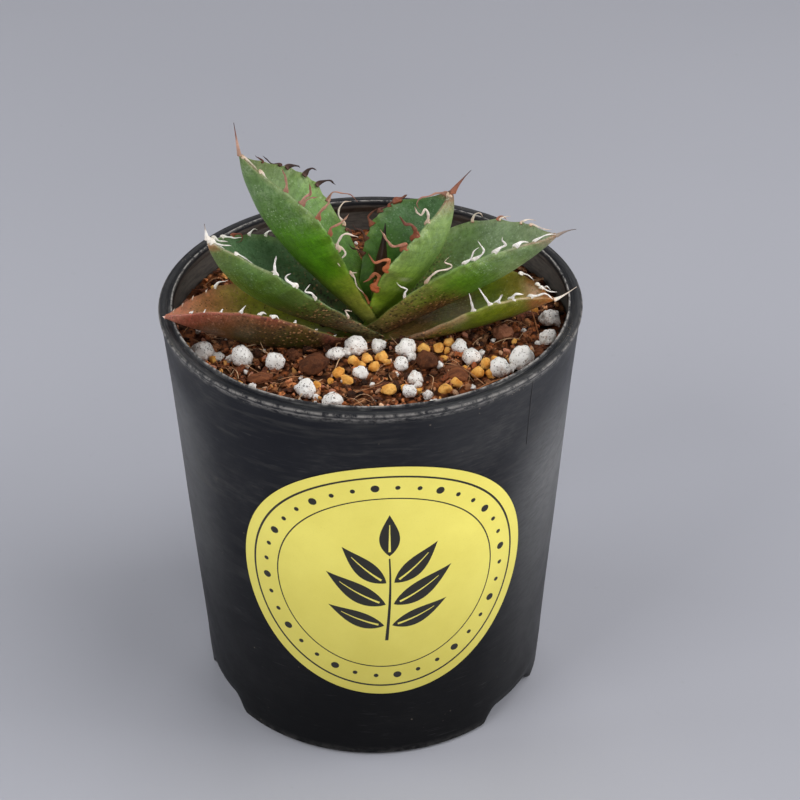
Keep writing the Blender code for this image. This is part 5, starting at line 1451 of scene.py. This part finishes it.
def leaf_look(name, bloom_tone, bloom_amount, freckle, freckle_amount, rough=0.40, ribbed=0.3):
    k = Look(name, rough=rough, spec=0.50)
    pos = k.coords()
    along = k.attr("along", "Vector")
    streak = k.noise(1.0, 4, 0.6, k.mapped(along, (0.07, 1.1, 1.0)))
    veins = k.noise(1.0, 3, 0.6, k.mapped(along, (0.16, 5.0, 1.0)))
    across = k.noise(1.0, 3, 0.6, k.mapped(along, (4.2, 0.16, 1.0), (2, 7, 1)))
    speck = k.noise(1650, 3, 0.75, pos)
    dots = k.voronoi(3000, pos)
    cells = k.voronoi(1500, pos)
    wax = k.noise(170, 5, 0.64, pos)
    mottle = k.noise(780, 4, 0.65, k.coords(shift=(0.4, 0.6, 0.2)))
    col = k.attr("rgb", "Color")
    col = k.mix(k.span(mottle, 0.46, 0.62, 0.0, 0.46), col, k.mix(1.0, col, (0.52, 0.58, 0.46), "MULTIPLY"))
    col = k.mix(k.span(mottle, 0.48, 0.34, 0.0, 0.36), col, k.mix(1.0, col, (1.50, 1.42, 1.50), "MULTIPLY"))
    col = k.mix(k.span(streak, 0.32, 0.72, 0.0, 0.45), col, k.mix(1.0, col, (0.60, 0.70, 0.48), "MULTIPLY"))
    col = k.mix(k.span(veins, 0.52, 0.74, 0.0, 0.30), col, k.mix(1.0, col, (1.40, 1.32, 1.32), "MULTIPLY"))
    rib = k.math("MULTIPLY", k.attr("rear"), k.span(across, 0.50, 0.66, 0.0, ribbed))
    col = k.mix(rib, col, k.mix(1.0, col, (1.55, 1.45, 1.75), "MULTIPLY"))
    bl = k.math("MULTIPLY", k.attr("bloom"), k.math("MULTIPLY", k.span(wax, 0.30, 0.66), k.span(speck, 0.42, 0.57, 0.10, 1.15)))
    bl = k.math("MULTIPLY", bl, k.span(dots, 0.10, 0.42, 1.0, 0.55))
    col = k.mix(k.math("MULTIPLY", bl, bloom_amount), col, lin(bloom_tone))
    fr = k.math("MULTIPLY", k.span(cells, 0.36, 0.16), k.span(k.noise(420, 3, 0.6, pos), 0.44, 0.60))
    col = k.mix(k.math("MULTIPLY", fr, freckle_amount), col, lin(freckle))
    # soil that has dried on near the neck
    mud = k.math("MULTIPLY", k.attr("dirt"), k.math("MULTIPLY", k.span(k.noise(300, 5, 0.68, pos), 0.28, 0.58), k.span(k.noise(1700, 3, 0.72, pos), 0.36, 0.56)))
    col = k.mix(k.math("MULTIPLY", mud, 0.92), col, k.mix(k.span(k.noise(1500, 3), 0.35, 0.65), lin((66, 38, 24)), lin((142, 96, 64))))
    peppered = k.math("MULTIPLY", k.span(k.attr("dirt"), 0.03, 0.40), k.span(k.voronoi(1150, k.coords(shift=(0.3, 0.7, 0.5))), 0.48, 0.30))
    peppered = k.math("MULTIPLY", peppered, k.span(k.noise(480, 3, 0.6, k.coords(shift=(0.6, 0.3, 0.8))), 0.40, 0.52))
    col = k.mix(k.math("MULTIPLY", peppered, 0.90), col, lin((44, 24, 16)))
    grains = k.math("MULTIPLY", k.span(k.attr("dirt"), 0.05, 0.50), k.span(k.voronoi(820, k.coords(shift=(0.8, 0.2, 0.1))), 0.30, 0.18))
    col = k.mix(k.math("MULTIPLY", grains, 0.90), col, lin((204, 152, 108)))
    flour = k.math("MULTIPLY", k.span(k.attr("bloom"), 0.05, 0.80), k.span(k.voronoi(1300, k.coords(shift=(0.5, 0.1, 0.9))), 0.32, 0.18))
    flour = k.math("MULTIPLY", flour, k.span(k.noise(260, 3, 0.6, k.coords(shift=(0.1, 0.5, 0.3))), 0.42, 0.60))
    col = k.mix(k.math("MULTIPLY", flour, 0.38), col, lin(tuple(min(250, 1.16 * c) for c in bloom_tone)))
    r = k.math("ADD", k.span(wax, 0.3, 0.7, rough - 0.06, rough + 0.06), k.math("MULTIPLY", k.math("ADD", mud, k.math("MULTIPLY", bl, 0.5)), 0.35))
    height = k.math("ADD", k.math("MULTIPLY", veins, 0.9), k.math("ADD", k.math("MULTIPLY", streak, 0.8), k.math("MULTIPLY", speck, 0.45)))
    height = k.math("ADD", height, k.math("MULTIPLY", mud, 1.4))
    return k.finish(col, r, k.bump(height, 0.00014, 0.8))


# How far each foot runs in under its neighbours, as a share of the length.
NECK = {"leaf_left_upper": 0.09, "leaf_right_upper": 0.10, "leaf_right_middle": 0.09, "leaf_left_middle": 0.09, "leaf_right_lower": 0.08, "leaf_left_lower": 0.04}
# Tones of the pale line and of the brown line at the margin, and where the brown line begins.
MARGIN = {
    "leaf_left_upper": ((150, 160, 104), (128, 84, 66), 0.86),
    "leaf_right_upper": ((140, 158, 92), (132, 80, 60), 0.84),
    "leaf_right_middle": ((164, 172, 128), (160, 128, 108), 0.78),
    "leaf_left_middle": ((140, 156, 92), (176, 158, 144), 0.66),
    "leaf_right_lower": ((156, 158, 84), (188, 164, 144), 0.62),
    "leaf_left_lower": ((160, 110, 84), (156, 78, 62), 0.30),
}
# Amount of dried soil, how far up the leaf it goes, and how much cleaner the leaf is near its front margin.
SOILING = {
    "leaf_left_upper": (0.25, 0.34, 0.7), "leaf_right_upper": (0.15, 0.20, 0.0), "leaf_right_middle": (1.0, 0.60, 0.70),
    "leaf_left_middle": (1.0, 0.62, 0.40), "leaf_right_lower": (0.7, 0.60, 0.3), "leaf_left_lower": (0.38, 0.90, 0.0),
}
# Local tones: softness, face, from/to along the leaf, from/to across (-1 rear margin, 1 front margin), tone, amount.
WASHES = {
    "leaf_left_upper": [
        (0.05, "back", 0.36, 0.90, -1.2, 0.10, (140, 158, 124), 0.50), (0.05, "back", 0.66, 0.985, 0.15, 0.92, (72, 104, 42), 0.60), (0.05, "back", 0.08, 0.34, 0.40, 1.2, (156, 166, 62), 0.75), (0.05, "back", 0.02, 0.42, -1.2, 0.55, (96, 98, 50), 0.55),
        (0.05, "back", 0.20, 0.62, 0.50, 1.2, (82, 140, 14), 0.60), (0.05, "face", 0.45, 0.95, -0.6, 0.6, (160, 174, 132), 0.45),
        (0.03, "back", 0.0, 0.30, 0.60, 1.2, (172, 174, 70), 0.60)],
    "leaf_right_upper": [
        (0.025, "any", 0.955, 1.1, -1.2, 1.2, (128, 74, 52), 0.80), (0.010, "back", 0.395, 0.430, 0.66, 0.86, (186, 194, 150), 0.9), (0.010, "back", 0.30, 0.33, 0.30, 0.80, (176, 184, 138), 0.6),
        (0.06, "face", 0.15, 0.70, 0.2, 0.95, (104, 142, 60), 0.50)],
    "leaf_right_middle": [
        (0.015, "any", 0.975, 1.1, -1.2, 1.2, (170, 122, 92), 0.85), (0.05, "face", 0.30, 0.97, 0.50, 0.96, (172, 186, 152), 0.50),
        (0.06, "back", 0.03, 0.46, -1.2, 0.75, (132, 76, 40), 0.85), (0.06, "back", 0.05, 0.45, 0.78, 1.2, (150, 156, 72), 0.60),
        (0.06, "back", 0.40, 0.66, 0.35, 1.2, (98, 140, 30), 0.50), (0.06, "back", 0.66, 0.96, -1.0, 0.85, (138, 156, 118), 0.50),
        (0.05, "face", 0.40, 0.74, 0.72, 1.2, (88, 128, 40), 0.50)],
    "leaf_left_middle": [
        (0.010, "back", 0.945, 0.985, -0.4, 0.93, (150, 88, 48), 0.90), (0.010, "any", 0.975, 1.1, -1.2, 1.2, (222, 206, 192), 0.80),
        (0.04, "back", 0.80, 0.95, 0.10, 0.95, (74, 98, 28), 0.60), (0.06, "back", 0.45, 0.84, 0.45, 0.95, (56, 82, 18), 0.50), (0.06, "back", 0.30, 0.88, 0.76, 1.2, (96, 134, 60), 0.45),
        (0.07, "back", 0.10, 0.55, -1.2, 0.62, (86, 66, 40), 0.60), (0.04, "back", 0.0, 0.16, 0.30, 1.2, (146, 146, 98), 0.65)],
    "leaf_right_lower": [
        (0.03, "any", 0.86, 1.1, -1.2, 1.2, (166, 100, 48), 0.70), (0.02, "any", 0.10, 0.52, 0.92, 1.2, (206, 178, 146), 0.95),
        (0.02, "any", 0.16, 0.50, 0.975, 1.2, (132, 84, 62), 0.60), (0.02, "face", 0.81, 0.925, -0.85, 0.45, (226, 190, 164), 0.80),
        (0.05, "face", 0.0, 0.50, -1.2, 1.0, (132, 92, 60), 0.70), (0.06, "back", 0.20, 0.80, -1.2, 0.55, (84, 88, 14), 0.45)],
    "leaf_left_lower": [
        (0.10, "back", 0.42, 0.92, 0.66, 1.2, (132, 56, 42), 0.55), (0.08, "back", 0.10, 0.66, 0.05, 0.85, (74, 82, 16), 0.72),
        (0.04, "back", 0.0, 0.22, -1.2, 1.2, (122, 64, 54), 0.75), (0.10, "back", 0.12, 0.80, 0.10, 0.82, (48, 46, 8), 0.80), (0.05, "back", 0.22, 0.46, 0.45, 0.96, (62, 78, 12), 0.70),
        # partly painted light: this wash brightens the face towards the tip to offset the shade cast on it
        (0.08, "face", 0.50, 1.0, -1.2, -0.4, (206, 120, 92), 0.5)],
}


def horn_look():
    k = Look("horn", rough=0.55, spec=0.4)
    pos = k.coords()
    n1 = k.noise(1300, 4, 0.65, pos)
    fib = k.noise(900, 4, 0.7, k.coords(scale=(1, 1, 0.35)))
    col = k.attr("rgb", "Color")
    col = k.mix(k.span(n1, 0.45, 0.75, 0.0, 0.55), col, k.mix(1.0, col, (0.62, 0.52, 0.46), "MULTIPLY"))
    return k.finish(col, k.span(n1, 0.3, 0.7, 0.45, 0.65), k.bump(k.math("ADD", n1, fib), 0.00012, 0.7))


def build_plant():
    horn = horn_look()
    looks = {
        "leaf_left_upper": leaf_look("leaf_a", (164, 180, 152), 0.40, (58, 84, 34), 0.45, 0.40, 0.40),
        "leaf_right_upper": leaf_look("leaf_b", (150, 174, 148), 0.42, (48, 76, 28), 0.30, 0.42),
        "leaf_right_middle": leaf_look("leaf_c", (172, 188, 168), 0.42, (64, 88, 44), 0.35, 0.42, 0.5),
        "leaf_left_middle": leaf_look("leaf_e", (128, 154, 112), 0.34, (44, 66, 22), 0.55, 0.40, 0.55),
        "leaf_right_lower": leaf_look("leaf_d", (160, 166, 106), 0.18, (70, 62, 20), 0.55, 0.40),
        "leaf_left_lower": leaf_look("leaf_f", (186, 136, 112), 0.34, (58, 24, 16), 0.90, 0.42, 0.95),
    }
    for name in LEAVES:
        build_leaf(name, looks[name], horn)


def build_bud():
    """The rolled young leaves, with the brown horny point that shows first."""
    foot, tip = np.array((1.9, 1.5, 107.0)) * MM, np.array((3.5, 2.0, 131.7)) * MM
    stations = ((0.0, 2.0), (0.15, 2.0), (0.3, 1.94), (0.45, 1.75), (0.60, 1.45), (0.68, 1.12), (0.75, 0.80), (0.83, 0.55), (0.9, 0.38), (0.96, 0.22), (1.0, 0.08))
    axis = (tip - foot) / np.linalg.norm(tip - foot)
    side = np.cross(axis, (0, 1, 0))
    side /= np.linalg.norm(side)
    up = np.cross(side, axis)
    rows, cols = [], []
    n = 40
    for i in range(61):
        t = i / 60
        for (a, ra), (b, rb) in zip(stations, stations[1:]):
            if t <= b + 1e-9:
                r = ra + (rb - ra) * (t - a) / (b - a)
                break
        c = foot + (tip - foot) * t + side * 0.25 * MM * math.sin(5 * t) * t
        ring = []
        for j in range(n):
            a = math.tau * j / n
            fold = 1 - 0.14 * math.exp(-((((a - 4.2 + math.pi) % math.tau) - math.pi) / 0.22) ** 2) + 0.05 * math.sin(3 * a + 4 * t)
            ring.append(c + (side * math.cos(a) + up * math.sin(a)) * r * MM * fold)
        rows.append(ring)
        tone = tone_at([(0, (92, 118, 36)), (0.35, (92, 104, 38)), (0.50, (96, 60, 42)), (0.66, (70, 42, 36)), (0.85, (46, 32, 30)), (1, (40, 28, 28))], t)
        cols += [tone] * n
    v = np.array(rows).reshape(-1, 3)
    rgb = np.array(cols) / 255.0
    rgb = np.where(rgb <= 0.04045, rgb / 12.92, ((rgb + 0.055) / 1.055) ** 2.4)
    faces = grid_faces(61, n)
    faces.append(tuple(reversed(range(n))))
    faces.append(tuple(60 * n + j for j in range(n)))
    k = Look("bud_horn", rough=0.42, spec=0.5)
    n1 = k.noise(900, 4, 0.65, k.coords(scale=(1, 1, 0.25)))
    col = k.mix(k.span(n1, 0.4, 0.7, 0.0, 0.55), k.attr("rgb", "Color"), k.mix(1.0, k.attr("rgb", "Color"), (0.5, 0.45, 0.42), "MULTIPLY"))
    ob = make("bud_point", v, faces, [k.finish(col, k.span(n1, 0.3, 0.7, 0.35, 0.5), k.bump(n1, 0.00015, 0.7))], "bud", colours={"rgb": rgb})
    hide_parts("bud")


def build_stem():
    k = Look("stem_cork", rough=0.85, spec=0.3)
    pos = k.coords()
    a = k.noise(500, 5, 0.65, pos)
    rings = k.noise(1400, 4, 0.7, k.coords(scale=(0.4, 0.4, 2.6)))
    col = k.mix(k.span(a, 0.3, 0.7), lin((96, 78, 44)), lin((156, 138, 88)))
    col = k.mix(k.span(rings, 0.52, 0.68, 0.0, 0.6), col, lin((82, 56, 36)))
    mat = k.finish(col, 0.85, k.bump(k.math("ADD", a, rings), 0.0003, 0.8))
    refine("stem", "stem_core", mat, "stem", 2, 0.12 * MM, 0.05 * MM, 4.4, spread=0.99, relax=0.2)


# =============================================================== stage
def build_stage():
    k = Look("floor_paper", rough=0.75, spec=0.2)
    col = k.mix(k.span(k.noise(3.0, 3, 0.5), 0.3, 0.7), FLOOR_A, FLOOR_B)
    col = k.mix(k.span(k.noise(260, 3, 0.6), 0.66, 0.80, 0.0, 0.10), col, lin((120, 116, 116)))
    mat = k.finish(col, 0.75)
    mesh = bpy.data.meshes.new("floor")
    mesh.from_pydata([(-4, -4, -0.00002), (4, -4, -0.00002), (4, 4, -0.00002), (-4, 4, -0.00002)], [], [(0, 1, 2, 3)])
    mesh.materials.append(mat)
    floor = bpy.data.objects.new("floor", mesh)
    SCENE.collection.objects.link(floor)


LIGHT_GAIN = 1.20


def area(name, where, look, size, power, colour, spread=None):
    data = bpy.data.lights.new(name, "AREA")
    data.shape = "RECTANGLE"
    data.size, data.size_y = size
    data.energy = power * LIGHT_GAIN
    data.color = colour
    if spread:
        data.spread = math.radians(spread)
    ob = bpy.data.objects.new(name, data)
    ob.location = where
    ob.rotation_mode = "QUATERNION"
    ob.rotation_quaternion = (Vector(look) - Vector(where)).to_track_quat("-Z", "Y")
    SCENE.collection.objects.link(ob)
    return ob


FLOOR_A, FLOOR_B = (0.393, 0.403, 0.455), (0.405, 0.415, 0.467)


def build_light():
    world = bpy.data.worlds.new("studio")
    world.use_nodes = True
    bg = world.node_tree.nodes["Background"]
    bg.inputs["Color"].default_value = (0.86, 0.90, 1.0, 1.0)
    bg.inputs["Strength"].default_value = 0.02
    SCENE.world = world
    area("right_front", (0.70, -0.45, 0.80), (0.0, 0.0, 0.05), (0.55, 0.55), 2.80, (1.0, 0.985, 0.97))
    area("left_side", (-0.85, 0.05, 0.35), (0.0, 0.0, 0.05), (0.5, 0.5), 2.96, (0.97, 0.985, 1.0))
    area("left_front", (-0.70, -0.60, 0.80), (0.0, 0.0, 0.05), (0.5, 0.5), 3.50, (1.0, 0.985, 0.965))
    area("behind", (0.0, 0.90, 0.80), (0.0, 0.0, 0.05), (0.6, 0.6), 2.39, (1.0, 0.985, 0.98))
    area("right_side", (0.90, 0.0, 0.35), (0.0, 0.0, 0.05), (0.5, 0.5), 3.67, (1.0, 0.99, 0.985))
    area("front", (0.10, -1.00, 0.25), (0.0, 0.0, 0.05), (0.5, 0.5), 3.11, (1.0, 0.985, 0.965))
    area("left_back", (-0.60, 0.50, 0.80), (0.0, 0.0, 0.05), (0.5, 0.5), 0.40, (0.97, 0.985, 1.0))
    area("over_right", (0.35, 0.0, 1.00), (0.0, 0.0, 0.05), (0.5, 0.5), 2.36, (1.0, 0.985, 0.97))


def build_camera():
    data = bpy.data.cameras.new("camera")
    data.sensor_width = 36.0
    data.lens = 2109.8 / 800.0 * 36.0
    data.clip_start, data.clip_end = 0.01, 20.0
    cam = bpy.data.objects.new("camera", data)
    pitch, roll = math.radians(33.864), math.radians(-0.175)
    right = Vector((1, 0, 0))
    up = Vector((0, math.sin(pitch), math.cos(pitch)))
    back = Vector((0, -math.cos(pitch), math.sin(pitch)))
    r2 = right * math.cos(roll) + up * math.sin(roll)
    u2 = up * math.cos(roll) - right * math.sin(roll)
    from mathutils import Matrix
    m = Matrix((r2, u2, back)).transposed()
    cam.rotation_mode = "QUATERNION"
    cam.rotation_quaternion = m.to_quaternion()
    cam.location = (0.007206, -0.448639, 0.382157)
    SCENE.collection.objects.link(cam)
    SCENE.camera = cam
    SCENE.view_settings.view_transform = "Standard"
    SCENE.view_settings.look = "None"


build_pot()
build_seam()
build_label()
build_soil()
build_crumbs()
build_fibres()
build_grains()
build_plant()
build_bud()
build_stem()
build_stage()
build_light()
build_camera()
